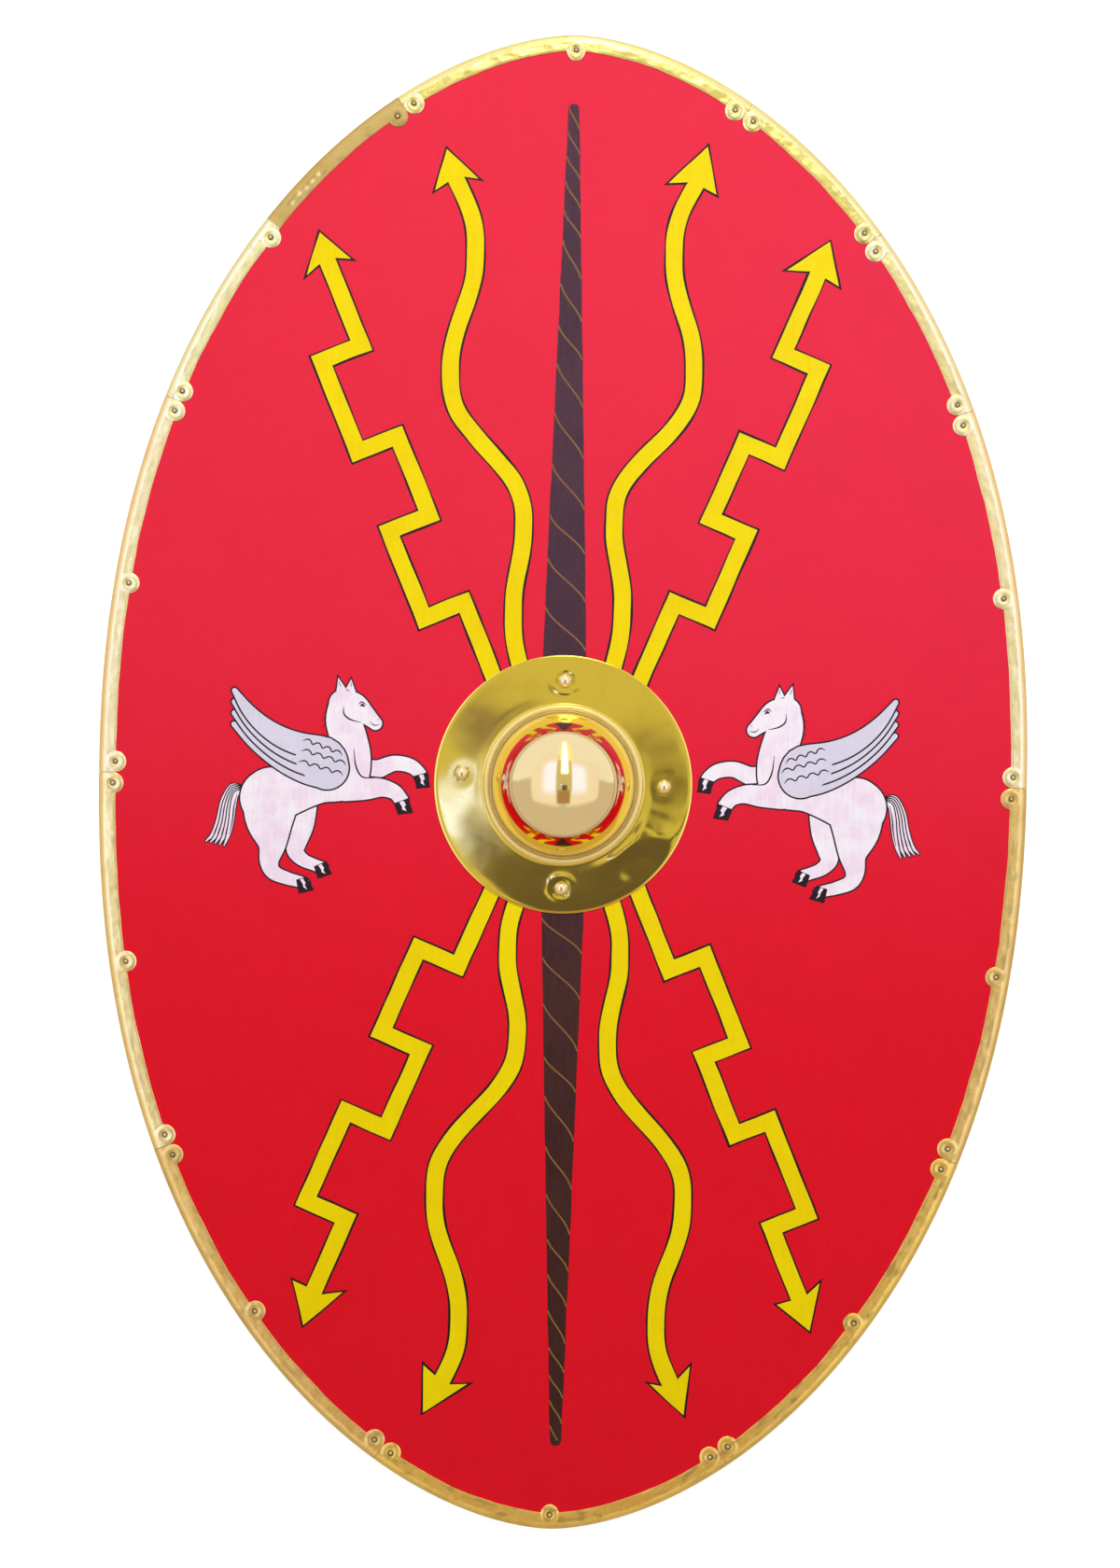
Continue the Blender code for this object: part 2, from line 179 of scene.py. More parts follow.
def turn_faces(piece, up=False):
    """Turns the active piece's faces all outwards, or mostly up on an open sheet."""
    bpy.ops.object.mode_set(mode="EDIT")
    bpy.ops.mesh.select_all(action="SELECT")
    bpy.ops.mesh.normals_make_consistent(inside=False)
    bpy.ops.object.mode_set(mode="OBJECT")
    if up and sum(face.normal.z for face in piece.data.polygons) < 0:
        piece.data.flip_normals()


def drill(piece, places, radius, low, high):
    """Round holes through or into a piece, along Z from low to high."""
    pegs = []
    for place in places:
        bpy.ops.mesh.primitive_cylinder_add(vertices=24, radius=radius, depth=high - low,
                                            location=(*place, (low + high) / 2))
        pegs.append(bpy.context.object)
    bpy.ops.object.select_all(action="DESELECT")
    for peg in pegs:
        peg.select_set(True)
    bpy.ops.object.join()
    joined = bpy.context.object
    finish_modifier(piece, "BOOLEAN", operation="DIFFERENCE", solver="EXACT", object=joined)
    bpy.data.objects.remove(joined)


def points_of(piece):
    """The places of a piece's points, one row each."""
    places = np.empty(len(piece.data.vertices) * 3)
    piece.data.vertices.foreach_get("co", places)
    return places.reshape(-1, 3)


def put_points(piece, places):
    piece.data.vertices.foreach_set("co", np.ascontiguousarray(places, float).ravel())
    piece.data.update()


def select_where(piece, wanted, mode="VERT"):
    """In edit mode, selects the points, edges or faces whose corners all pass a test."""
    bpy.ops.mesh.select_mode(type=mode)
    bpy.ops.mesh.select_all(action="DESELECT")
    mesh = bmesh.from_edit_mesh(piece.data)
    for part in {"VERT": mesh.verts, "EDGE": mesh.edges, "FACE": mesh.faces}[mode]:
        corners = [part] if mode == "VERT" else part.verts
        if all(wanted(corner.co) for corner in corners):
            part.select_set(True)
    mesh.select_flush_mode()
    bmesh.update_edit_mesh(piece.data)


def mark(piece, name, values):
    """Stores one number at each point, for a material to read."""
    attribute = piece.data.attributes.new(name, "FLOAT", "POINT")
    attribute.data.foreach_set("value", np.ascontiguousarray(values, np.float32))


def ride_as(piece, solid):
    """Ties a piece to the shield's body, and hides the solid that it stands for."""
    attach(piece, "root")
    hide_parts(solid)


def ripple(x, y, reach, seed):
    """Smooth unevenness between -1 and 1 that changes over a distance called reach."""
    return noise.noise(Vector((x / reach, y / reach, seed)))


def ease_between(low, high, value):
    """0 below low, 1 above high and a soft step between them."""
    part = np.clip((value - low) / (high - low), 0.0, 1.0)
    return part * part * (3.0 - 2.0 * part)


def plateau(value, *steps):
    """1 between the second and third steps, 0 outside the first and last."""
    return ease_between(*steps[:2], value) * (1.0 - ease_between(*steps[2:], value))


def peak(value, middle, width):
    """1 at the middle, falling away on both sides like a bell."""
    return np.exp(-((value - middle) / width) ** 2)


# -------------------- the oval rim line

def lay_out_oval():
    """The rim's outer edge as points, and their distances walked clockwise from the top."""
    angle = np.linspace(0.0, math.tau, OUTLINE_STEPS + 1)
    height = np.cos(angle)
    reach = np.maximum(0.0, 1.0 - np.abs(height) ** FULLNESS) ** SHOULDER
    across = np.sign(np.sin(angle)) * HALF_WIDTH * (1.0 + EGG * height) * reach
    line = np.column_stack([across, HALF_HEIGHT * height])
    walk = np.concatenate([[0.0], np.cumsum(np.hypot(*np.diff(line, axis=0).T))])
    return line, walk


OVAL, OVAL_WALK = lay_out_oval()
PERIMETER = OVAL_WALK[-1]


def edge_points(distance):
    distance = np.mod(distance, PERIMETER)
    return np.column_stack([np.interp(distance, OVAL_WALK, OVAL[:, k]) for k in (0, 1)])


def inset_points(distance, depth):
    """Points at distances along the rim and depths in from its outer edge."""
    distance = np.asarray(distance, float)
    reach = 0.004
    along = edge_points(distance + reach) - edge_points(distance - reach)
    along /= np.hypot(*along.T)[:, None]
    inward = np.column_stack([along[:, 1], -along[:, 0]])
    return edge_points(distance) + np.broadcast_to(depth, distance.shape)[:, None] * inward


def rim_place(point):
    """How far along the rim, and how deep in from its edge, a point is."""
    nearest = int(np.argmin(np.hypot(*(OVAL - point).T)))
    around = OVAL_WALK[nearest] + np.linspace(-0.002, 0.002, 81)
    gaps = np.hypot(*(edge_points(around) - point).T)
    return around[np.argmin(gaps)] % PERIMETER, gaps.min()


def rim_places(points):
    """Distances along the rim and depths in from its edge, for many points at once."""
    nearest = [np.argmin((OVAL[:, 0] - x) ** 2 + (OVAL[:, 1] - y) ** 2) for x, y in points]
    return OVAL_WALK[nearest], np.hypot(*(OVAL[nearest] - points).T)


def middle_of(node):
    low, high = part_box(node)
    return np.array([(low[0] + high[0]) / 2, (low[1] + high[1]) / 2])


NAIL_NODES = [f"rim_nail_{number:02d}" for number in range(1, NAIL_COUNT + 1)]
NAIL_MIDDLES = np.array([middle_of(solid) for solid in NAIL_NODES])
NAIL_PLACES = [rim_place(middle) for middle in NAIL_MIDDLES]
RIVETS = {side: middle_of(f"boss_rivet_{side}") for side in ("top", "right", "bottom", "left")}


# -------------------- drawing on the flat

def unit(rows):
    return rows / np.maximum(np.linalg.norm(rows, axis=1, keepdims=True), 1e-12)


def flowing(points, steps):
    """A smooth curve through points of any number of coordinates."""
    points = np.array(points, float)
    row = np.vstack([2 * points[0] - points[1], points, 2 * points[-1] - points[-2]])
    curve = []
    for a, b, c, d in zip(row, row[1:], row[2:], row[3:]):
        for t in np.arange(steps) / steps:
            curve.append(0.5 * (2 * b + (c - a) * t + (2 * a - 5 * b + 4 * c - d) * t ** 2
                                + (3 * b - a - 3 * c + d) * t ** 3))
    return np.array([*curve, points[-1]])


def tapering(discs, grow=0.0, steps=6):
    """Outline of a limb, line or strand swept through discs of (x, y, radius)."""
    path = flowing(discs, steps)
    centre, radius = path[:, :2], np.maximum(path[:, 2] + grow, 0.05)
    step = np.gradient(centre, axis=0)
    length = np.maximum(np.hypot(*step.T), 1e-9)
    along = step / length[:, None]
    lean = np.clip(-np.gradient(radius) / length, -0.8, 0.8)[:, None]
    across = np.column_stack([-along[:, 1], along[:, 0]]) * np.sqrt(1.0 - lean * lean)
    left = (along * lean + across) * radius[:, None]
    right = (along * lean - across) * radius[:, None]

    def cap(middle, start, end):
        reach = math.hypot(*start)
        first = math.atan2(start[1], start[0])
        sweep = (first - math.atan2(end[1], end[0])) % math.tau
        count = int(min(max(5, reach * 3), 30))
        turns = first - np.linspace(0.0, sweep, count)[1:-1]
        return middle + reach * np.column_stack([np.cos(turns), np.sin(turns)])

    return np.vstack([centre + left, cap(centre[-1], left[-1], right[-1]),
                      (centre + right)[::-1], cap(centre[0], right[0], left[0])])


def grown(outline, distance):
    """An outline moved outwards, with mitred corners."""
    outline = np.array(outline, float)
    after = np.roll(outline, -1, axis=0)
    area = np.sum(outline[:, 0] * after[:, 1] - after[:, 0] * outline[:, 1])
    edge = unit(after - outline)
    outward = np.column_stack([edge[:, 1], -edge[:, 0]]) * np.sign(area)
    mitre = outward + np.roll(outward, 1, axis=0)
    length = 2.0 / np.maximum(np.sum(mitre * mitre, axis=1), 0.3)
    return outline + distance * mitre * length[:, None]


def scallops(start, end, count, bulge):
    """A row of small arcs from start to end."""
    start, end = np.array(start, float), np.array(end, float)
    share = np.linspace(0.0, 1.0, count * 3 + 1)[:, None]
    side = np.array([end[1] - start[1], start[0] - end[0]]) / np.hypot(*(end - start))
    return start + (end - start) * share + side * bulge * np.abs(np.sin(math.pi * count * share))


HAND_PITCH = 0.003
HAND_REACH = 0.022
HAND_WANDER = 0.00028
STEADIER_WANDER = 0.0002


def by_hand(outline, seed, wander=HAND_WANDER):
    """An outline with the unsteady edge of a line painted by hand."""
    steady = []
    for start, end in zip(outline, np.roll(outline, -1, axis=0)):
        count = max(1, math.ceil(np.hypot(*(end - start)) / HAND_PITCH))
        steady += [start + (end - start) * k / count for k in range(count)]
    shift = [[ripple(x, y, HAND_REACH, seed), ripple(x, y, HAND_REACH, seed + 9.7)]
             for x, y in steady]
    return np.array(steady) + 2 * wander * np.array(shift)


# -------------------- bolts and waves

# Each quarter of the shield has a bolt of lightning and a wave with arrowheads. They are
# drawn in the upper right quarter, in mm, and flipped. A head's corners are the inner barb,
# tip and outer barb, as (across, along) its heading from the last point of the band.
QUARTERS = {
    "upper_left": {
        "flip": (-1, 1), "bolt_start": (52.6, 78.5), "bolt_heading": 22.8,
        "runs": (52.3, 67.1, 60.7, 69.8, 64.0), "jog": 30.7,
        "bolt_head": ((-17.8, -5.7), (-2.5, 23.3), (19.6, -4.6)),
        "turns": ((27, 45), (37.6, 120), (31.3, 183), (85.5, 290), (69.2, 378), (94, 470)),
        "wave_end": 427.8, "wave_heading": 18.3,
        "wave_head": ((-16.7, -4.9), (0, 24.9), (18.6, -3.2))},
    "upper_right": {
        "flip": (1, 1), "bolt_start": (54.8, 75.6), "bolt_heading": 22.6,
        "runs": (58.0, 65.6, 58.9, 69.6, 60.6), "jog": 28.0,
        "bolt_head": ((-23.3, -6.2), (-1.5, 26.9), (18.8, -1.6)),
        "turns": ((30, 45), (40.3, 125), (33.2, 186), (88.4, 292), (72.5, 379), (98, 470)),
        "wave_end": 426.7, "wave_heading": 17.2,
        "wave_head": ((-19.9, -5.1), (0, 31.2), (18.0, -2.1))},
    "lower_left": {
        "flip": (-1, -1), "bolt_start": (50.0, 79.9), "bolt_heading": 22.9,
        "runs": (57.1, 65.7, 61.8, 70.0, 55.4), "jog": 31.2,
        "bolt_head": ((-20.7, -8.2), (-2.9, 27.9), (18.1, -0.3)),
        "turns": ((25, 45), (37.3, 122), (29.3, 180), (86.3, 294), (67.5, 386), (92, 476)),
        "wave_end": 427.3, "wave_heading": 29.6,
        "wave_head": ((-18.7, -7.3), (0, 29.6), (18.0, -2.4))},
    "lower_right": {
        "flip": (1, -1), "bolt_start": (56.7, 80.9), "bolt_heading": 22.6,
        "runs": (56.3, 66.8, 59.8, 71.3, 52.9), "jog": 27.3,
        "bolt_head": ((-17.8, -1.5), (-1.7, 27.1), (19.1, -4.9)),
        "turns": ((28, 45), (43, 123), (35.4, 187), (91, 297), (73.5, 385), (99, 478)),
        "wave_end": 426.4, "wave_heading": 23.7,
        "wave_head": ((-15.1, -5.5), (0, 27.9), (19.2, -5.7))},
}
BAND = 0.0131
EDGE_LINE = 0.0014
HIDDEN_START = 30.0
WAVE_FOOT = 62.0
WAVE_STEP = 3.0


def heading_axes(degrees):
    """Unit vectors along a heading, measured from the shield's long axis, and across it."""
    turn = math.radians(degrees)
    return (np.array([math.sin(turn), math.cos(turn)]),
            np.array([math.cos(turn), -math.sin(turn)]))


def bolt_line(start, heading, runs, jog):
    """Middle line of a zigzag: long runs on one heading, with square jogs to and fro."""
    along, across = heading_axes(heading)
    place = np.array(start, float)
    line = [place - HIDDEN_START * along]
    for number, run in enumerate(runs):
        place = place + along * run
        line.append(place)
        if number < len(runs) - 1:
            place = place + across * jog * (-1) ** number
            line.append(place)
    return np.array(line)


def wave_line(turns, end):
    """Middle line of a wave that eases from one turning point to the next."""
    turns = np.array(turns, float)
    line = []
    for height in np.append(np.arange(WAVE_FOOT, end - WAVE_STEP / 2, WAVE_STEP), end):
        k = min(np.searchsorted(turns[:, 1], height) - 1, len(turns) - 2)
        (low_x, low_y), (high_x, high_y) = turns[k], turns[k + 1]
        t = (height - low_y) / (high_y - low_y)
        line.append((low_x + (high_x - low_x) * t ** 3 * (10 - 15 * t + 6 * t * t), height))
    return np.array(line)


def arrow(line, heading, head):
    """Outline of a band of even width along a line, with an arrowhead on its last point."""
    edge = unit(np.diff(line, axis=0))
    side = np.column_stack([-edge[:, 1], edge[:, 0]])
    mitre = np.vstack([side[:1], side]) + np.vstack([side, side[-1:]])
    mitre *= (BAND / MM / np.maximum(np.sum(mitre * mitre, axis=1), 0.3))[:, None]
    along, across = heading_axes(heading)
    mitre[-1] = -across * BAND / MM / 2
    corners = [line[-1] + across * x + along * y for x, y in head]
    return np.vstack([line + mitre, corners, (line - mitre)[::-1]])


def paint_bands():
    """The four bolts and four waves, each a dark shape with a yellow one inside it."""
    shapes = []
    seed = 1.0
    for quarter in QUARTERS.values():
        bolt = bolt_line(quarter["bolt_start"], quarter["bolt_heading"], quarter["runs"],
                         quarter["jog"])
        wave = wave_line(quarter["turns"], quarter["wave_end"])
        for outline in (arrow(bolt, quarter["bolt_heading"], quarter["bolt_head"]),
                        arrow(wave, quarter["wave_heading"], quarter["wave_head"])):
            for paint, grow in (("dark_line", EDGE_LINE / 2), ("yellow", -EDGE_LINE / 2)):
                drawn = by_hand(grown(outline * MM, grow), seed)
                shapes.append((paint, drawn * quarter["flip"]))
                seed += 0.7
    return shapes


# -------------------- spine

# Two tapering arms wound with a gold line, in mm: an arm's end and foot, its half width
# at the end and how much that spreads, and where each turn of the line starts.
SPINE = {
    "upper": {"end": (-0.8, 480.0), "foot": (-0.4, 60.0), "half": 3.9, "spread": 0.0299,
              "turns": (482, 464, 446, 428, 407, 386, 355, 325, 298, 263, 226, 190, 159, 124)},
    "lower": {"end": (3.2, -470.0), "foot": (1.2, -60.0), "half": 4.1, "spread": 0.0293,
              "turns": (-98, -126, -159, -197, -225, -261, -295, -327, -352, -378, -404,
                        -424, -442, -460)},
}
GOLD_LINE_HALF = 0.52
GOLD_LINE_REACH = 0.86
GOLD_LINE_MARGIN = 0.5


def paint_spine():
    """Each arm's brown outline, and the gold line that crosses it again and again."""
    shapes = []
    for arm in SPINE.values():
        end, foot = np.array(arm["end"]), np.array(arm["foot"])
        share = np.linspace(0.0, 1.0, 24)[:, None]
        middle = end + (foot - end) * share
        reach = abs(foot[1] - end[1])
        half = (arm["half"] + arm["spread"] * reach * share) * (1, 0)
        turn = np.linspace(0, math.pi, 9)[1:-1]
        round_end = end + arm["half"] * np.column_stack([np.cos(turn),
                                                         np.sin(turn) * np.sign(end[1])])
        outline = np.vstack([(middle + half)[::-1], round_end, middle - half])
        shapes.append(("spine_brown", by_hand(outline * MM, 31.0, STEADIER_WANDER)))
        steps = np.append(np.diff(arm["turns"]), arm["turns"][-1] - arm["turns"][-2])
        for start, step in zip(arm["turns"], steps):
            t = np.linspace(0.0, 1.0, 9)
            height = start + GOLD_LINE_REACH * step * t
            share = (height - end[1]) / (foot[1] - end[1])
            half = arm["half"] + arm["spread"] * reach * share - GOLD_LINE_MARGIN
            sway = 0.55 * np.cos(math.pi * t) + 0.45 * (1 - 2 * t)
            across = end[0] + (foot[0] - end[0]) * share - half * sway
            line = np.column_stack([across, height, np.full(9, GOLD_LINE_HALF)])
            shapes.append(("spine_gold", tapering(line[share > -0.002], steps=3) * MM))
    return shapes


# -------------------- winged horses

# One generic winged horse, facing right, in mm from its own middle: limbs and trunk are
# swept through discs of (x, y, radius), and laid over one another from back to front.
HORSE_MIDDLES = (((-175.0, -3.0), 1), ((176.0, -3.0), -1))
INK = 1.2
TRUNK = [(-35, -12, 20), (-18, -7, 16.0), (1, -2, 13.2), (19, 3, 15.0), (24, 16, 13.5),
         (21.5, 31, 13), (17.5, 44, 12.2), (17, 55, 9.8)]
HEAD = [(17, 56, 9.8), (25, 54.5, 9.2), (32, 49.5, 7.0), (37.5, 45, 5.3), (40.5, 42.3, 4.7)]
EARS = [[(12.0, 62.5), (13.4, 74.5), (19.5, 66)], [(19, 66.5), (22.6, 73.5), (26.5, 63)]]
NEAR_HIND_LEG = [(-33, -11, 20.4), (-34, -27, 16.6), (-31.6, -44, 9.8), (-33.6, -57, 6.6),
                 (-30.5, -65, 5.2), (-21, -69.2, 4.4), (-12, -71.5, 4.0), (-8.5, -73, 4.2)]
FAR_HIND_LEG = [(-11, -19, 10.5), (-11, -31, 8.6), (-14, -43, 6.9), (-15, -50, 5.7),
                (-9.5, -56, 4.6), (-1.5, -59.3, 4.1), (4, -61.3, 4.2)]
NEAR_FORELEG = [(20, -1.5, 12), (34, -4, 8.2), (46, -3.6, 6.2), (55, -6.5, 5.2), (60, -12.0, 4.9)]
FAR_FORELEG = [(30, 9, 8.5), (42, 9.5, 6.4), (54, 14, 5.4), (65, 12.8, 5.0),
               (71.5, 8.5, 4.5), (74, 4.5, 4.4)]
WING_SHOULDER = [(-1, 17, 15.0), (3.5, 15, 16.6), (6.5, 10, 15.4)]
FEATHER_COUNT = 4
FEATHER_ROOT = ((1, 24.5), (6, 3))
FEATHER_BEND = ((-38, 27), (-27, 8))
FEATHER_TIP = ((-60.5, 64), (-60.5, 40))
FEATHER_WIDTHS = (8.0, 7.8, 7.0, 5.8, 4.2, 1.8)
COVERT_ROWS = (((-11, 29), (17, 19)), ((-12, 21.5), (20, 12)), ((-14, 13.5), (18, 4.5)))
TAIL_COUNT = 5
TAIL_FIRST = [(-53.5, -5.5), (-61, -4.5), (-67, -15), (-70, -28), (-74, -38.5), (-79, -44)]
TAIL_LAST = [(-54.0, -8.5), (-58.0, -10.0), (-60.0, -19), (-61.0, -29), (-63.0, -39), (-66, -47)]
TAIL_WIDTHS = (1.2, 1.6, 1.8, 1.6, 1.2, 0.3)
HOOVES = [[(-13.6, -70.6), (-7.0, -68.6), (-1.6, -77.2), (-11.6, -79.8)],
          [(-1.0, -60.8), (6.2, -57.6), (11.0, -65.4), (1.6, -68.8)],
          [(55.2, -14.8), (64.6, -11.2), (68.0, -20.8), (58.0, -22.2)],
          [(69.2, 5.0), (78.2, 7.6), (79.8, -2.4), (70.8, -3.4)]]
PEN_LINES = {
    "jaw": ([(17.5, 54.0), (18.0, 48.5), (22.5, 44.8), (30.0, 42.8)], 0.55),
    "shoulder": ([(25.5, 24), (27.0, 12), (31.5, 4.2), (40.5, 3.2)], 0.55),
    "mouth": ([(36.6, 43.4), (39.6, 41.0), (43.4, 41.4)], 0.4),
    "brow": ([(28.2, 55.8), (30.6, 57.4), (33.8, 55.2)], 0.5),
    "eye": ([(29.6, 54.6), (31.0, 55.3), (32.4, 54.0)], 0.95),
    "nostril": ([(41.6, 44.8), (42.8, 45.4)], 0.5),
}
MANE = (((10.0, 61.5), (6.8, 58.0)), ((7.6, 57.5), (4.6, 53.5)), ((6.0, 52.5), (3.2, 48.5)),
        ((5.2, 47.5), (2.6, 43.5)), ((5.0, 42.5), (3.0, 38.5)))
# Corners of the pale patch on a hoof, as (across, down) from the middle of its top.
HOOF_SHINE = ((-1, 0), (1, 0), (1.5, 0.38), (0.5, 0.5), (0.9, 0.88), (-0.8, 0.62), (-0.4, 0.42))


def between(first, last, share):
    return np.array(first) * (1.0 - share) + np.array(last) * share


def hoof_shine(hoof):
    """The pale patch on a hoof, whose corners are its two top and its two low ones."""
    top, low = np.mean(hoof[:2], axis=0), np.mean(hoof[2:], axis=0)
    side = (np.array(hoof[1]) - hoof[0]) * 0.16
    down = low - top
    return [top + down * along + side * across for across, along in HOOF_SHINE]


def paint_horse():
    """The horse's shapes from back to front, in mm."""
    shapes = []

    def body(paint, *limbs, ink=INK):
        shapes.extend(("dark_line", tapering(discs, ink)) for discs in limbs)
        shapes.extend((paint, tapering(discs)) for discs in limbs)

    def pen(points, half):
        halves = [half] * len(points)
        halves[0] = halves[-1] = half * 0.35
        shapes.append(("dark_line", tapering(np.column_stack([points, halves]))))

    for share in np.linspace(0.0, 1.0, TAIL_COUNT):
        strand = between(TAIL_FIRST, TAIL_LAST, share)
        body("horse_white", np.column_stack([strand, TAIL_WIDTHS]), ink=INK * 0.75)
        pen(strand[1:-1] + (0.6, 0.2), 0.45)
    body("horse_white", FAR_HIND_LEG)
    body("horse_white", FAR_FORELEG)
    shapes.extend(("dark_line", grown(ear, INK * 0.9)) for ear in EARS)
    for hair in MANE:
        pen(hair, 0.6)
    body("horse_white", TRUNK, HEAD, NEAR_HIND_LEG, NEAR_FORELEG)
    for ear in EARS:
        shapes.append(("horse_white", ear))
        middle = np.mean(ear, axis=0)
        pen([between(middle, ear[1], 0.55), between(middle, ear[1], 0.1)], 0.7)
    shapes.append(("dark_line", tapering(WING_SHOULDER, INK)))
    way = np.linspace(0.0, 1.0, len(FEATHER_WIDTHS))[:, None]
    for share in np.linspace(1.0, 0.0, FEATHER_COUNT):
        root, bend, tip = (between(*ends, share)
                           for ends in (FEATHER_ROOT, FEATHER_BEND, FEATHER_TIP))
        vane = (1 - way) ** 2 * root + 2 * way * (1 - way) * bend + way ** 2 * tip
        body("wing_grey", np.column_stack([vane, FEATHER_WIDTHS]))
    shapes.append(("wing_grey", tapering(WING_SHOULDER)))
    for start, end in COVERT_ROWS:
        pen(scallops(end, start, 4, 2.4), 0.5)
    for points, half in PEN_LINES.values():
        pen(points, half)
    for hoof in HOOVES:
        shapes.append(("dark_line", grown(hoof, 0.5)))
        shapes.append(("horse_white", hoof_shine(hoof)))
    return shapes


def paint_horses():
    """The horse to the left of the boss, and its mirror image to the right."""
    drawn = paint_horse()
    return [(paint, (np.array(outline) * (flip, 1) + middle) * MM)
            for middle, flip in HORSE_MIDDLES for paint, outline in drawn]


# -------------------- painted linen facing

def circle(centre, radius, sides):
    turn = np.arange(sides) * math.tau / sides
    return np.column_stack([centre[0] + radius * np.cos(turn),
                            centre[1] + radius * np.sin(turn)])


def inside(loop, places):
    """Which places a closed loop goes round."""
    start, end = np.array(loop), np.roll(loop, -1, axis=0)
    low = np.minimum(start, end).min(axis=0)
    high = np.maximum(start, end).max(axis=0)
    near = np.flatnonzero(np.all((places > low) & (places < high), axis=1))
    winding = np.zeros(len(places), int)
    x, y = places[near, 0], places[near, 1]
    rounds = np.zeros(len(near), int)
    for (ax, ay), (bx, by) in zip(start, end):
        left = (bx - ax) * (y - ay) - (x - ax) * (by - ay)
        rounds += (ay <= y) & (by > y) & (left > 0)
        rounds -= (ay > y) & (by <= y) & (left < 0)
    winding[near] = rounds
    return winding != 0


def lay_out_for_baking(piece):
    """Spreads the painted side over the colour map, and squeezes the rest into a strip."""
    layer = piece.data.uv_layers.new(name="OFBake")
    corners = np.empty(len(piece.data.loops), np.int32)
    piece.data.loops.foreach_get("vertex_index", corners)
    places = points_of(piece)[corners]
    painted = np.repeat([face.normal.z > 0.5 for face in piece.data.polygons],
                        [face.loop_total for face in piece.data.polygons])
    across = 0.5 + 0.49 * places[:, 0] / HALF_WIDTH
    along = 0.5 + 0.5 * places[:, 1] / HALF_HEIGHT
    up = np.where(painted, 0.03 + 0.96 * along, 0.004 + 0.016 * along)
    layer.data.foreach_set("uv", np.column_stack([across, up]).ravel().astype(np.float32))


def split_sheet(outline, holes, shapes):
    """Flat faces inside an outline and outside its holes, split along every shape's edge.

    Gives the points, the faces and the paint of each face, which is the last shape's over it.
    """
    points, edges = [], []
    for loop in (outline, *holes, *[np.array(shape) for _, shape in shapes]):
        first = len(points)
        points += [Vector(point) for point in loop]
        edges += [(first + k, first + (k + 1) % len(loop)) for k in range(len(loop))]
    flat, _, faces, _, _, _ = delaunay_2d_cdt(points, edges, [], 0, 1e-7)
    flat = np.array([tuple(point) for point in flat])
    faces = np.array([tuple(face) for face in faces])
    middles = flat[faces].mean(axis=1)
    kept = inside(outline, middles)
    for hole in holes:
        kept &= ~inside(hole, middles)
    paint_of = np.zeros(len(faces), int)
    paints = list(PAINT_MIXES)
    for paint, shape in shapes:
        paint_of[inside(shape, middles)] = paints.index(paint)
    used, faces = np.unique(faces[kept], return_inverse=True)
    return flat[used], faces.reshape(-1, 3), paint_of[kept]


def make_painted_linen(paints):
    """The facing: one thin sheet, split along the edges of everything painted on it."""
    outline = inset_points(np.linspace(0.0, PERIMETER, 901)[:-1], RIM_BEND)
    holes = [circle(BOSS_CENTRE, HAND_HOLE_RADIUS, 72)]
    holes += [circle(middle, RIVET_HOLE_RADIUS, 16) for middle in RIVETS.values()]
    holes += [circle(middle, NAIL_SHANK_RADIUS * 1.4, 6) for middle in NAIL_MIDDLES]
    shapes = paint_spine() + paint_bands() + paint_horses()
    flat, faces, paint_of = split_sheet(outline, holes, shapes)
    piece = mesh_piece("painted_linen", np.column_stack([flat, np.full(len(flat), FACING_FRONT)]),
                       faces)
    for paint in paints.values():
        piece.data.materials.append(paint)
    piece.data.polygons.foreach_set("material_index", paint_of.astype(np.int32))
    finish_modifier(piece, "SOLIDIFY", thickness=FACING_THICKNESS, offset=-1.0)
    lay_out_for_baking(piece)
    ride_as(piece, "linen_facing")
    return piece


# -------------------- rim

STATION_PITCH = 0.0022
FLANGE_ROWS = 15
BEND_ROWS = 7
BACK_ROWS = 4
HAMMER_HEIGHT = 0.00030
HAMMER_REACHES = (0.0085, 0.0035)
DISH_HEIGHT = 0.00034
CUT_WANDER = 0.0006
EDGE_CLEARANCE = 0.00004
PUNCH_MARKS = {"first": (-0.1817, 0.4300), "count": 5, "pitch": 0.0068, "radius": 0.0019,
               "depth": 0.00028, "glint": 0.0013}
# How dull the punched strip is past its middle nail, and where that starts.
DULL_HALF = 0.85
DULL_FROM = (0.0085, 0.0105)
# Depths in from the outer edge between which the strip turns flat, the tarnish of its
# turned edge and of its very edge ends, and its smears begin.
TURNS_FLAT = (0.0022, 0.0058)
TURNED_EDGE = (0.0022, 0.0048)
VERY_EDGE = (0.0004, 0.0016)
SMEARED_FROM = (0.002, 0.005)
SMEAR_REACHES = (0.012, 0.005)
# The dark ring of dirt and painted shade round a nail, and the painted shade to its lower left.
NAIL_RING_WIDTH = 0.00070
SHADE_OFFSET = (-0.0014, -0.0030)
SHADE_SIZE = 0.0018


def strip_ends():
    """Where each strip starts and ends along the rim."""
    shares = sorted([(k + 0.5) / FULL_STRIPS for k in range(FULL_STRIPS)] + [SPLIT_JOINT])
    joints = [share * PERIMETER for share in shares]
    return list(zip(joints, joints[1:] + [joints[0] + PERIMETER]))


def nails_between(start, end):
    """The nails of a strip, as distances along the rim between its ends, and depths."""
    shifted = [((place - start) % PERIMETER + start, depth) for place, depth in NAIL_PLACES]
    return [nail for nail in shifted if nail[0] < end]


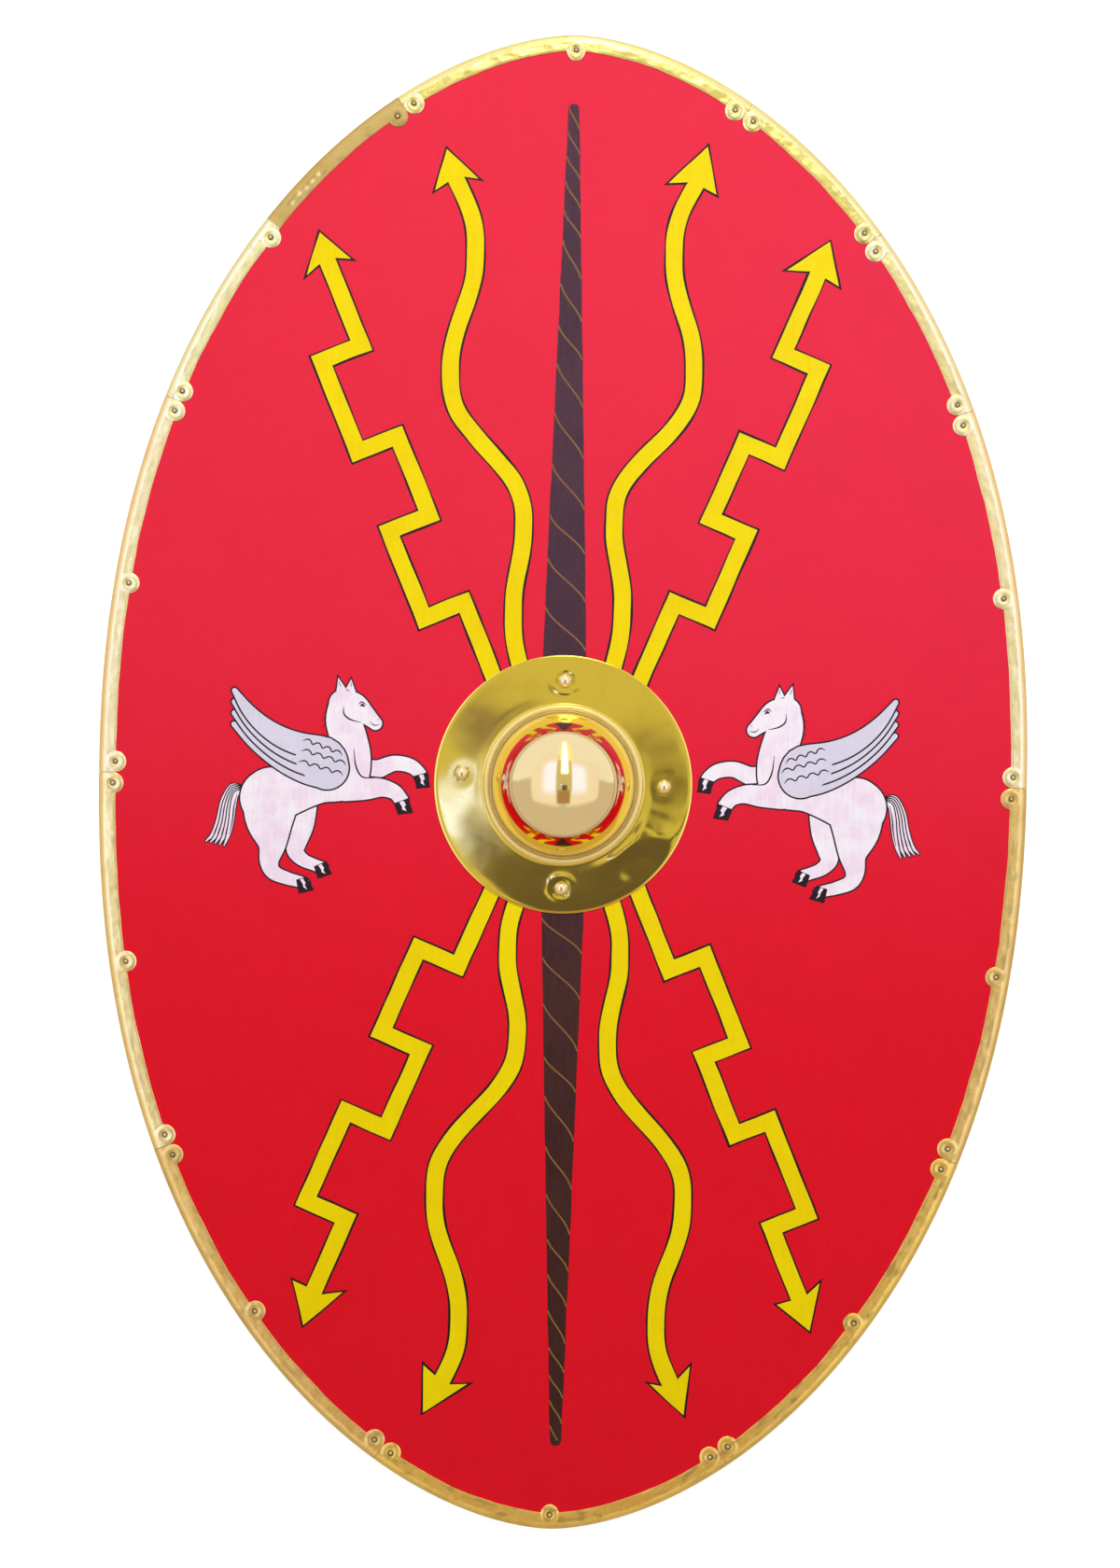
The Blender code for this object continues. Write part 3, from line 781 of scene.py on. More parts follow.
def strip_stations(start, end, nails):
    """Places along a strip where it is measured off, closer together round its nails."""
    places = list(np.linspace(start, end, round((end - start) / STATION_PITCH) + 1))
    for place, _ in nails:
        places += [place + LOBE_RADIUS * 1.15 * k / 15 for k in range(-15, 16)]
        places += [place + LOBE_RADIUS * math.cos(math.radians(turn))
                   for turn in range(0, 181, 6)]
    stations = [start]
    for place in sorted(places):
        if stations[-1] + 0.0002 < place < end - 0.0002:
            stations.append(place)
    return np.array(stations + [end])


def flange_edge(stations, nails, seed):
    """How deep the front flange reaches: cut by hand, with a round lobe at each nail."""
    wander = [ripple(station, 0.0, 0.034, seed) + 0.4 * ripple(station, 3.0, 0.011, seed)
              for station in stations]
    depth = FRONT_FLANGE + CUT_WANDER * np.array(wander)
    for place, nail_depth in nails:
        rise = np.sqrt(np.maximum(0.0, LOBE_RADIUS ** 2 - (stations - place) ** 2))
        depth = np.where(rise > 0, np.maximum(depth, nail_depth + rise), depth)
    return depth


def flange_rise(station, depth, edge, nails, punched, seed):
    """How far beating, dishing and punching lift the front flange above its flat."""
    inward = ease_between(*TURNS_FLAT, depth)
    free = inward * (1.0 - 0.7 * ease_between(-0.0016, -0.0002, depth - edge))
    point = inset_points(np.array([station]), depth)[0]
    broad, fine = (ripple(*point, reach, seed) for reach in HAMMER_REACHES)
    beaten = 0.5 + 0.5 * broad + 0.22 * fine
    rise = HAMMER_HEIGHT * max(beaten, 0.0) * free
    for place, nail_depth in nails:
        from_nail = math.hypot(station - place, depth - nail_depth) / LOBE_RADIUS
        if from_nail < 1.3:
            ring = plateau(from_nail, 0.2, 0.56, 0.62, 1.02)
            rise = rise * ease_between(0.25, 1.25, from_nail) + DISH_HEIGHT * ring * inward
    for place, mark_depth in punched:
        from_mark = math.hypot(station - place, depth - mark_depth)
        rise -= PUNCH_MARKS["depth"] * (1.0 - ease_between(0.0, PUNCH_MARKS["radius"], from_mark))
    return rise


def lay_out_strip(stations, edge, nails, punched, seed):
    """The places of a strip's rows: its front flange, the fold and its back flange."""
    bend = np.radians(np.linspace(0.0, 90.0, BEND_ROWS))
    bend_depth = RIM_BEND - RIM_BEND * np.sin(bend)
    front_height = RIM_TOP - RIM_BEND + RIM_BEND * np.cos(bend)
    back_height = RIM_TOP + RIM_BOTTOM - front_height
    back = np.linspace(RIM_BEND, BACK_FLANGE, BACK_ROWS + 1)[1:]
    columns = []
    for station, reach in zip(stations, edge):
        flange = reach + (RIM_BEND - reach) * np.linspace(0.0, 1.0, FLANGE_ROWS + 1)[:-1]
        rise = [flange_rise(station, depth, reach, nails, punched, seed) for depth in flange]
        depths = np.concatenate([flange, bend_depth, bend_depth[::-1], back])
        heights = np.concatenate([RIM_TOP + np.array(rise), front_height, back_height[::-1],
                                  np.full(BACK_ROWS, RIM_BOTTOM)])
        spots = inset_points(np.full(len(depths), station), depths + EDGE_CLEARANCE)
        columns.append(np.column_stack([spots, heights]))
    return np.stack(columns, axis=1).reshape(-1, 3)


def make_rim_strip(number, start, end, punched, brass, smears, turned_edge):
    """A strip of brass sheet: a grid laid along the edge, folded round it and thickened."""
    nails = nails_between(start, end)
    punched = [place for place in punched if start < place[0] < end]
    stations = strip_stations(start + JOINT_GAP / 2, end - JOINT_GAP / 2, nails)
    edge = flange_edge(stations, nails, 2.0 + number)
    rows = FLANGE_ROWS + 2 * BEND_ROWS + BACK_ROWS
    bpy.ops.mesh.primitive_grid_add(x_subdivisions=len(stations) - 1, y_subdivisions=rows - 1,
                                    size=1.0)
    piece = named(f"rim_strip_brass_{number:02d}")
    put_points(piece, lay_out_strip(stations, edge, nails, punched, 5.0 + number))
    turn_faces(piece, up=True)
    finish_modifier(piece, "SOLIDIFY", thickness=RIM_SHEET, offset=-1.0, use_even_offset=True)
    round_edges(piece, 0.00016, 2, 60)
    smooth_shade(piece, 40)
    spots = points_of(piece)[:, :2]
    along, depths = rim_places(spots)
    # Dirt in the smears, and dirt and painted shade round each nail, for the brass to darken by.
    mark(piece, "grime", rim_soil_and_shade(spots, along, depths, smears, 7.0 + number))
    worn = turned_edge * (1.0 - ease_between(*TURNED_EDGE, depths)
                          + 0.8 * (1.0 - ease_between(*VERY_EDGE, depths)))
    if punched:
        worn = np.maximum(worn, dull_share(along, depths, nails[1][0], punched))
    mark(piece, "worn", worn)
    piece.data.materials.clear()
    piece.data.materials.append(brass)
    ride_as(piece, f"rim_strip_{number:02d}")


def dull_share(along, depths, middle_nail, punched):
    """How dull the punched strip is: from its middle nail's lobe on, but for the marks."""
    start, end = DULL_FROM
    dull = DULL_HALF * ease_between(middle_nail + start, middle_nail + end, along)
    for place, mark_depth in punched:
        dull *= 1.0 - peak(np.hypot(along - place, depths - mark_depth), 0.0, PUNCH_MARKS["glint"])
    return dull


def rim_soil_and_shade(spots, along, depths, smears, seed):
    """Dirt and painted shade in a ring round each nail, painted shade to its lower left, and smears
    that run along the strip.
    """
    broad, fine = SMEAR_REACHES
    smear = [ripple(place, depth * 3.0, broad, seed)
             + 0.5 * ripple(place, depth * 2.0, fine, seed + 3.1)
             for place, depth in zip(along, depths)]
    grime = smears * ease_between(0.16, 0.50, np.array(smear)) * ease_between(*SMEARED_FROM, depths)
    for number, middle in enumerate(NAIL_MIDDLES):
        x, y = (spots - middle).T
        # A ring of dirt and painted shade round the nail, and a patch of painted shade to its lower
        # left.
        ring = peak(np.hypot(x, y), NAIL_HEAD_RADIUS * 1.12, NAIL_RING_WIDTH)
        ring *= 0.62 + 0.34 * np.cos(np.arctan2(y, x) - 2.4 * number)
        shade_patch = peak(np.hypot((x - SHADE_OFFSET[0]) / 1.3, y - SHADE_OFFSET[1]), 0.0, SHADE_SIZE)
        grime = np.maximum(grime, ring * (0.45 + smears))
        grime = np.maximum(grime, shade_patch * (0.15 + smears * 0.9))
    return grime


# Finishes of the rim's brass: clean and tarnished colours, how much is tarnished,
# roughness, how strong the smears are, and how tarnished the turned edge is.
RIM_FINISHES = {
    "lemon": ((0.98, 0.86, 0.34), (0.78, 0.60, 0.12), 0.30, 0.16, 0.25, 0.20),
    "straw": ((0.98, 0.86, 0.42), (0.84, 0.62, 0.22), 0.26, 0.22, 0.15, 0.45),
    "honey": ((0.98, 0.81, 0.33), (0.84, 0.57, 0.17), 0.26, 0.22, 0.15, 0.55),
    "cream": ((0.99, 0.86, 0.41), (0.90, 0.60, 0.22), 0.22, 0.26, 0.08, 0.65),
    "pale": ((1.0, 0.91, 0.44), (0.55, 0.36, 0.08), 0.08, 0.24, 0.25, 0.25),
    "tan": ((0.90, 0.63, 0.18), (0.56, 0.36, 0.10), 0.28, 0.26, 0.30, 0.30),
    "brown": ((0.95, 0.66, 0.14), (0.46, 0.31, 0.08), 0.35, 0.26, 0.50, 0.22),
}
STRIP_FINISHES = ("lemon", "straw", "cream", "tan", "brown", "brown", "tan", "honey", "cream",
                  "pale", "lemon")


def make_rim(group):
    """All the strips, each with its own finish."""
    brasses = {name: make_brass(f"rim_brass_{name}", group, *finish[:4], BEATEN_RIM)
               for name, finish in RIM_FINISHES.items()}
    first, _ = rim_place(np.array(PUNCH_MARKS["first"]))
    punched = [(first - PUNCH_MARKS["pitch"] * k, 0.0070 + 0.0004 * (k % 3))
               for k in range(PUNCH_MARKS["count"])]
    for number, (ends, finish) in enumerate(zip(strip_ends(), STRIP_FINISHES), start=1):
        make_rim_strip(number, *ends, punched, brasses[finish], *RIM_FINISHES[finish][4:])


# -------------------- nails and rivets

RING_STEP = 2e-5
TAIL_POINT = 0.78


def turned_pin(pin, tail_seat):
    """A domed pin at the origin, modelled by hand: a ball cut in half, then drawn down."""
    radius, height = pin["head"]
    tail_radius, tail_height = pin["tail"]
    bpy.ops.mesh.primitive_uv_sphere_add(segments=pin["segments"], ring_count=pin["rings"],
                                         radius=radius)
    piece = named("pin_pattern", scale=(1.0, 1.0, height / radius))
    bpy.ops.object.mode_set(mode="EDIT")
    bpy.ops.mesh.select_all(action="SELECT")
    bpy.ops.mesh.bisect(plane_co=(0, 0, 0), plane_no=(0, 0, 1), clear_inner=True,
                        use_fill=False)
    steps = [(0.0, pin["shank"] / radius), (tail_seat, 1.0), (0.0, tail_radius / pin["shank"]),
             (-tail_height, TAIL_POINT)]
    low = 0.0
    for drop, spread in steps:
        select_where(piece, lambda place: abs(place.z - low) < 1e-6, "EDGE")
        bpy.ops.mesh.extrude_edges_move(TRANSFORM_OT_translate={"value": (0, 0, drop)})
        bpy.ops.transform.resize(value=(spread, spread, 1.0), center_override=(0, 0, low + drop))
        low += drop
        if drop == 0.0:
            mesh = bmesh.from_edit_mesh(piece.data)
            for corner in [corner for corner in mesh.verts if corner.select]:
                corner.co.z -= RING_STEP
            low -= RING_STEP
            bmesh.update_edit_mesh(piece.data)
    bpy.ops.mesh.edge_face_add()
    turn_faces(piece)
    smooth_shade(piece, 40)
    return piece


def set_pins(pin, tail_seat, middles, brass):
    """Copies of one turned pin, one at the middle of each of its solids."""
    pattern = turned_pin(pin, tail_seat - pin["seat"])
    pattern.data.materials.append(brass)
    away = np.hypot(*points_of(pattern)[:, :2].T) / pin["head"][0]
    # Painted shade darkens the outer part of the head.
    mark(pattern, "grime", pin["painted_shade"] * ease_between(0.35, 0.80, away))
    for solid, middle in middles.items():
        kind, which = solid.rsplit("_", 1)
        piece = bpy.data.objects.new(f"{kind}_brass_{which}", pattern.data.copy())
        piece.data.name = piece.name
        bpy.context.scene.collection.objects.link(piece)
        put_points(piece, points_of(piece) + (*middle, pin["seat"]))
        ride_as(piece, solid)
    bpy.data.objects.remove(pattern)


def make_rivets(brass):
    """The boss's four rivets: the left and right ones end inside the grip."""
    for tail_seat, sides in ((BEHIND_BOARD, ("top", "bottom")),
                             (IN_COUNTERBORE, ("left", "right"))):
        set_pins(RIVET, tail_seat, {f"boss_rivet_{side}": RIVETS[side] for side in sides}, brass)


# -------------------- boss

BOSS_STEPS = 180
# Radii: the groove at the dome's foot, where the dome's and the bead's finishes end, and
# between which the flange is free to buckle.
GROOVE_RADIUS = 0.0517
DOME_EDGE = (0.0508, 0.0520)
BEAD_EDGE = (0.0570, 0.0580)
FREE_RADII = (0.0580, 0.0660, 0.0860, 0.0918)
# The buckles' height and reach, the bearings between which they are lively, and how lively
# they are elsewhere.
BUCKLE_HEIGHT = 0.0009
BUCKLE_REACHES = (0.036, 0.014)
LIVELY_BEARINGS = (104.0, 130.0, 140.0, 165.0)
CALM = 0.06
RIVET_DISH_RADIUS = 0.0085
RIVET_DISH_DEPTH = 0.00012
# Width of the painted shade in the groove at the dome's foot and round each rivet head.
PAINTED_SHADE_WIDTH = 0.0006


def boss_profile():
    """Radius and height of the boss's front, from the top of the dome to the flange's edge."""
    turn = np.radians(np.linspace(0.0, 86.5, 40))
    dome = np.column_stack([np.sin(turn), np.cos(turn)]) * DOME_RADIUS
    groove = [(0.05135, 0.0019), (GROOVE_RADIUS, 0.0011)]
    middle, half = (BEAD_OUTER + BEAD_INNER) / 2, (BEAD_OUTER - BEAD_INNER) / 2
    over = np.radians(np.linspace(156.0, 10.0, 14))
    bead = np.column_stack([middle + half * np.cos(over), BEAD_HEIGHT * np.sin(over)])
    foot = [(BEAD_OUTER + 0.0001, 0.0001), (BEAD_OUTER + 0.0005, 0.0)]
    flange = [(radius, 0.0) for radius in np.linspace(BEAD_OUTER + 0.0020, 0.0902, 26)]
    lip = [(0.0910, -0.00004), (0.0917, -0.00012), (FLANGE_RADIUS, -0.00022)]
    return np.vstack([dome, groove, bead, foot, flange, lip]) + (0.0, FLANGE_TOP)


def flange_buckle(x, y):
    """How far the thin flange has buckled up off the board, most at its lower right."""
    radius = math.hypot(x, y)
    if radius < BEAD_OUTER:
        return 0.0
    free = plateau(radius, *FREE_RADII)
    bearing = math.degrees(math.atan2(x, y)) % 360.0
    lively = CALM + (1.0 - CALM) * plateau(bearing, *LIVELY_BEARINGS)
    dish = 0.0
    for side, middle in RIVETS.items():
        away = math.hypot(x + BOSS_CENTRE[0] - middle[0], y + BOSS_CENTRE[1] - middle[1])
        free *= ease_between(RIVET_HEAD_RADIUS, RIVET_DISH_RADIUS * 1.4, away)
        if side in ("top", "bottom"):
            dish += RIVET_DISH_DEPTH * peak(away, RIVET_DISH_RADIUS, 0.0016)
    broad, fine = BUCKLE_REACHES
    rise = 0.25 + 0.8 * ripple(x, y, broad, 24.5) + 0.16 * ripple(x, y, fine, 8.8)
    return BUCKLE_HEIGHT * max(rise, 0.0) * free * lively + dish


def make_boss(brass):
    """The boss, spun from its profile, buckled a little, thickened and drilled."""
    profile = boss_profile()
    bpy.ops.mesh.primitive_circle_add(vertices=len(profile), radius=0.01, fill_type="NOTHING")
    piece = named("boss_brass")
    put_points(piece, np.insert(profile, 1, 0.0, axis=1))
    bpy.ops.object.mode_set(mode="EDIT")
    mesh = bmesh.from_edit_mesh(piece.data)
    closing = max(mesh.edges, key=lambda edge: edge.calc_length())
    bmesh.ops.delete(mesh, geom=[closing], context="EDGES")
    bmesh.update_edit_mesh(piece.data)
    bpy.ops.mesh.select_all(action="SELECT")
    bpy.ops.mesh.spin(steps=BOSS_STEPS, dupli=False, angle=math.tau, center=(0, 0, 0),
                      axis=(0, 0, 1))
    bpy.ops.mesh.select_all(action="SELECT")
    bpy.ops.mesh.remove_doubles(threshold=1e-6)
    turn_faces(piece, up=True)
    places = points_of(piece)
    places[:, 2] += [flange_buckle(x, y) for x, y, _ in places]
    put_points(piece, places + (*BOSS_CENTRE, 0.0))
    finish_modifier(piece, "SOLIDIFY", thickness=BOSS_SHEET, offset=-1.0, use_even_offset=True)
    round_edges(piece, 0.0003, 2, 50)
    drill(piece, RIVETS.values(), RIVET_HOLE_RADIUS, FLANGE_TOP - 0.005, FLANGE_TOP + 0.005)
    smooth_shade(piece, 50)
    spots = points_of(piece)[:, :2]
    radius = np.hypot(*(spots - BOSS_CENTRE).T)
    # Painted shade in the groove at the dome's foot and round each rivet head.
    painted_shade = [0.8 * peak(radius, GROOVE_RADIUS, PAINTED_SHADE_WIDTH)]
    painted_shade += [peak(np.hypot(*(spots - middle).T), RIVET_HEAD_RADIUS, PAINTED_SHADE_WIDTH)
             for middle in RIVETS.values()]
    mark(piece, "grime", 0.55 * np.max(painted_shade, axis=0))
    mark(piece, "dome", 1.0 - ease_between(*DOME_EDGE, radius))
    mark(piece, "bead", plateau(radius, *DOME_EDGE, *BEAD_EDGE))
    piece.data.materials.append(brass)
    ride_as(piece, "boss")


# -------------------- grip

# Half width and thickness at each distance from the grip's middle.
GRIP_SECTIONS = {
    0.0: (0.0133, GRIP_HANDLE_THICKNESS), 0.022: (0.0125, 0.0201), 0.036: (0.0125, 0.0185),
    0.046: (0.0135, GRIP_END_THICKNESS), 0.056: (GRIP_HALF_WIDTH, GRIP_END_THICKNESS),
    0.092: (GRIP_HALF_WIDTH, GRIP_END_THICKNESS), GRIP_HALF_LENGTH: (0.0100, 0.0090)}


def make_grip(wood):
    """The wooden grip: a bar cut into sections, thinned to its ends and eased all round."""
    bpy.ops.mesh.primitive_cube_add(size=1.0)
    piece = named("grip_bar", location=(0, 0, GRIP_HANDLE_THICKNESS / 2),
                  scale=(2 * GRIP_HALF_LENGTH, 2 * GRIP_HALF_WIDTH, GRIP_HANDLE_THICKNESS))
    bpy.ops.object.mode_set(mode="EDIT")
    for place in GRIP_SECTIONS:
        for side in (-1, 1):
            if place < GRIP_HALF_LENGTH:
                bpy.ops.mesh.select_all(action="SELECT")
                bpy.ops.mesh.bisect(plane_co=(side * place, 0, 0), plane_no=(1, 0, 0))
    for place, (half_width, top) in GRIP_SECTIONS.items():
        select_where(piece, lambda spot: abs(abs(spot.x) - place) < 1e-5)
        bpy.ops.transform.resize(value=(1.0, half_width / GRIP_HALF_WIDTH,
                                        top / GRIP_HANDLE_THICKNESS), center_override=(0, 0, 0))
    turn_faces(piece)
    round_edges(piece, 0.0028, 4, 50)
    ends = [RIVETS["left"], RIVETS["right"]]
    drill(piece, ends, RIVET_HOLE_RADIUS, -0.001, 0.03)
    drill(piece, ends, COUNTERBORE_RADIUS, -0.001, COUNTERBORE_DEPTH)
    smooth_shade(piece, 50)
    piece.data.materials.append(wood)
    ride_as(piece, "grip")


# -------------------- shader building blocks

def fill(tree, socket, value):
    """Links a value to a socket, or sets it there. A colour may leave out its alpha."""
    if isinstance(value, bpy.types.NodeSocket):
        tree.links.new(value, socket)
    elif socket.type == "RGBA":
        socket.default_value = (*value[:3], 1.0)
    else:
        socket.default_value = value


def fill_all(tree, sockets, **values):
    """Fills sockets by their names, with _ for a space."""
    for name, value in values.items():
        fill(tree, sockets[name.replace("_", " ")], value)


def node(tree, kind, inputs=None, **settings):
    """Adds a shader node, with its properties set and its inputs filled."""
    made = tree.nodes.new(kind)
    for name, value in settings.items():
        setattr(made, name, value)
    for name, value in (inputs or {}).items():
        fill(tree, made.inputs[name], value)
    return made


def maths(tree, operation, *values):
    return node(tree, "ShaderNodeMath", dict(enumerate(values)), operation=operation).outputs[0]


def plus(tree, first, second):
    return maths(tree, "ADD", first, second)


def times(tree, first, second):
    return maths(tree, "MULTIPLY", first, second)


def own_place(tree):
    """The place of the shaded point on its own piece."""
    return node(tree, "ShaderNodeTexCoord").outputs["Object"]


def marked(tree, name):
    """The number that mark() stored at the shaded point."""
    return node(tree, "ShaderNodeAttribute", attribute_name=name).outputs["Fac"]


def soft_step(tree, value, low, high):
    """0 below low and 1 above high, with a soft step between."""
    return node(tree, "ShaderNodeMapRange",
                {"Value": value, "From Min": low, "From Max": high},
                interpolation_type="SMOOTHSTEP").outputs["Result"]


def blended(tree, share, first, second):
    """Two colours mixed by a share."""
    mix = node(tree, "ShaderNodeMix", {"Factor": share}, data_type="RGBA")
    fill(tree, mix.inputs[6], first)
    fill(tree, mix.inputs[7], second)
    return mix.outputs[2]


def stretched_noise(tree, scale, detail=2.0, roughness=0.5, seed=(0.0, 0.0, 0.0)):
    """Noise with its own scale along each axis."""
    mapped = node(tree, "ShaderNodeMapping", {"Vector": own_place(tree), "Scale": scale,
                                              "Location": seed})
    return node(tree, "ShaderNodeTexNoise",
                {"Vector": mapped.outputs["Vector"], "Scale": 1.0, "Detail": detail,
                 "Roughness": roughness}).outputs["Fac"]


def sized_noise(tree, size, detail, roughness=0.5):
    """Noise whose size is a value of the group."""
    return node(tree, "ShaderNodeTexNoise",
                {"Vector": own_place(tree), "Scale": maths(tree, "DIVIDE", 1.0, size),
                 "Detail": detail, "Roughness": roughness}).outputs["Fac"]


def bumped(tree, height, distance, strength=1.0):
    """The surface's direction where it is raised by a height."""
    return node(tree, "ShaderNodeBump", {"Strength": strength, "Distance": distance,
                                         "Height": height}).outputs["Normal"]


def new_group(name, inputs, outputs):
    """An empty node group. An input is a colour where its value is one."""
    group = bpy.data.node_groups.new(name, "ShaderNodeTree")
    for label, value in inputs.items():
        kind = "Color" if isinstance(value, tuple) else "Float"
        socket = group.interface.new_socket(label, in_out="INPUT", socket_type=f"NodeSocket{kind}")
        socket.default_value = (*value, 1.0) if kind == "Color" else value
    for label, kind in outputs.items():
        group.interface.new_socket(label, in_out="OUTPUT", socket_type=f"NodeSocket{kind}")
    return (group, group.nodes.new("NodeGroupInput").outputs,
            group.nodes.new("NodeGroupOutput").inputs)


def use_group(tree, group, **inputs):
    """Places a group in a material, with its own values."""
    placed = node(tree, "ShaderNodeGroup", node_tree=group)
    for name, value in inputs.items():
        fill(tree, placed.inputs[name.replace("_", " ").capitalize()], value)
    return placed.outputs


def new_material(name, **settings):
    """A material, its tree and its shader, with some of the shader's inputs filled."""
    material = bpy.data.materials.new(name)
    material.use_nodes = True
    tree = material.node_tree
    shader = tree.nodes["Principled BSDF"]
    fill_all(tree, shader.inputs, **settings)
    return material, tree, shader


def linen_weave_group():
    """Plain weave: threads over and under each other, uneven and a little slubbed."""
    group, given, put_out = new_group("linen_weave", {"Pitch": 0.001},
                                      {"Height": "Float", "Slub": "Float"})
    place = node(group, "ShaderNodeSeparateXYZ", {"Vector": own_place(group)}).outputs
    waves = []
    for axis, seed in (("X", (0, 0, 0)), ("Y", (7, 3, 0))):
        drift = times(group, stretched_noise(group, (45, 45, 45), seed=seed), 0.0022)
        turn = maths(group, "DIVIDE", plus(group, place[axis], drift), given["Pitch"])
        waves.append(maths(group, "SINE", times(group, turn, math.pi)))
    over = soft_step(group, times(group, *waves), -0.4, 0.4)
    under = maths(group, "SUBTRACT", 1.0, over)
    warp, weft = (maths(group, "ABSOLUTE", wave) for wave in waves)
    slubs = plus(group, stretched_noise(group, (900, 35, 30), seed=(2, 0, 0)),
                 stretched_noise(group, (35, 900, 30), seed=(0, 5, 0)))
    fill_all(group, put_out, Slub=times(group, slubs, 0.5),
             Height=plus(group, times(group, warp, over), times(group, weft, under)))
    return group


def brushwork_group():
    """Where a brushed coat lies thick or thin: broad clouds, and finer strokes."""
    group, given, put_out = new_group("brushwork", {"Cloud size": 0.05},
                                      {"Cloud": "Float", "Stroke": "Float"})
    cloud = sized_noise(group, given["Cloud size"], 4.0, 0.6)
    stroke = stretched_noise(group, (420, 60, 60), detail=3.0, roughness=0.65)
    fill_all(group, put_out, Cloud=soft_step(group, cloud, 0.36, 0.66),
             Stroke=soft_step(group, stroke, 0.35, 0.68))
    return group


def worn_brass_group():
    """Sheet brass: beaten and scratched, tarnished in clouds, and darkened where it is marked, by
    dirt and by painted shade.
    """
    group, given, put_out = new_group(
        "worn_brass",
        {"Clean": (0.85, 0.65, 0.22), "Tarnished": (0.4, 0.26, 0.08),
         "Soil and shade colour": (0.09, 0.065, 0.025), "Tarnish": 0.3, "Worn": 0.0, "Grime": 0.0,
         "Roughness": 0.2, "Beaten size": 0.01, "Beaten depth": 0.0001,
         "Scratch depth": 0.000004},
        {"Colour": "Color", "Roughness": "Float", "Normal": "Vector"})
    cloud = soft_step(group, stretched_noise(group, (38, 38, 38), 5.0, 0.62), 0.42, 0.72)
    smear = soft_step(group, stretched_noise(group, (170, 170, 170), 4.0, 0.7, (3, 1, 4)),
                      0.5, 0.75)
    patina = times(group, plus(group, cloud, times(group, smear, 0.6)), given["Tarnish"])
    patina = maths(group, "MINIMUM", plus(group, patina, given["Worn"]), 1.0)
    # How much a mark darkens it: dirty smears, dirt and painted shade round the nails, and painted
    # shade round the rivets and in the boss's groove.
    soil_and_shade_share = maths(group, "MINIMUM", given["Grime"], 1.0)
    colour = blended(group, patina, given["Clean"], given["Tarnished"])
    dull = times(group, maths(group, "MAXIMUM", patina, soil_and_shade_share), 0.30)
    beaten = sized_noise(group, given["Beaten size"], 1.0)
    scratch = plus(group, stretched_noise(group, (2600, 120, 120), 1.0),
                   stretched_noise(group, (140, 2300, 140), 1.0, seed=(4, 4, 4)))
    height = plus(group, times(group, beaten, given["Beaten depth"]),
                  times(group, scratch, given["Scratch depth"]))
    fill_all(group, put_out, Colour=blended(group, soil_and_shade_share, colour, given["Soil and shade colour"]),
             Roughness=plus(group, dull, given["Roughness"]), Normal=bumped(group, height, 1.0))
    return group


def wood_group():
    """Sawn wood with its grain along X."""
    group, given, put_out = new_group(
        "wood", {"Pale": (0.6, 0.42, 0.24), "Dark": (0.32, 0.18, 0.08), "Grain": 1.0},
        {"Colour": "Color", "Height": "Float"})
    warp = stretched_noise(group, (5, 16, 16), 3.0)
    shape = node(group, "ShaderNodeMapping", {"Vector": own_place(group),
                                              "Scale": (3.0, 60.0, 60.0)})
    rings = node(group, "ShaderNodeTexWave",
                 {"Vector": shape.outputs["Vector"], "Scale": 0.8, "Distortion": 7.0,
                  "Detail": 3.0, "Detail Scale": 0.7}, bands_direction="Y").outputs["Fac"]
    pores = soft_step(group, stretched_noise(group, (60, 2400, 2400), 2.0), 0.52, 0.72)
    share = plus(group, times(group, rings, 0.35), times(group, warp, 0.3))
    share = times(group, plus(group, share, times(group, pores, 0.35)), given["Grain"])
    fill_all(group, put_out, Colour=blended(group, share, given["Pale"], given["Dark"]),
             Height=maths(group, "SUBTRACT", 1.0, pores))
    return group


# -------------------- materials

# Each paint: its colour, what it turns to where it is thin or stained, how much of that
# shows and in what size of cloud, its roughness and how strongly its surface shines.
PAINT_MIXES = {
    "red_ground": ((0.85, 0.0050, 0.0175), (0.76, 0.0040, 0.015), 0.40, 0.045, 0.22, 0.50),
    "dark_line": ((0.018, 0.012, 0.013), (0.050, 0.022, 0.018), 0.50, 0.045, 0.40, 0.25),
    "yellow": ((0.95, 0.76, 0.002), (0.86, 0.56, 0.002), 0.45, 0.045, 0.40, 0.06),
    "spine_brown": ((0.056, 0.020, 0.015), (0.090, 0.032, 0.024), 0.60, 0.045, 0.26, 0.50),
    "spine_gold": ((0.32, 0.16, 0.035), (0.22, 0.10, 0.020), 0.60, 0.045, 0.36, 0.30),
    "horse_white": ((1.0, 0.96, 1.0), (0.94, 0.72, 0.89), 1.0, 0.018, 0.40, 0.25),
    "wing_grey": ((0.79, 0.74, 0.87), (0.67, 0.63, 0.77), 0.55, 0.022, 0.40, 0.25),
}
WEAVE_PITCH = 0.00105
WEAVE_DEPTH = 0.00004
# How much the paint darkens between the threads and along the slubs, and how dark: painted shade in
# the weave's valleys, and a darker tone on the slubs.
VALLEY_SHARE = 0.07
VALLEY_SHADE = 0.72

# How a brass is beaten and scratched: distance between blows, their depth and the
# scratches' depth.
BEATEN_RIM = (0.007, 0.00020, 0.000003)
BEATEN_FLANGE = (0.030, 0.00003, 0.0000005)
BEATEN_RIVET = (0.004, 0.00003, 0.000001)
DOME_ROUGHNESS = 0.075
BEAD_ROUGHNESS = 0.38

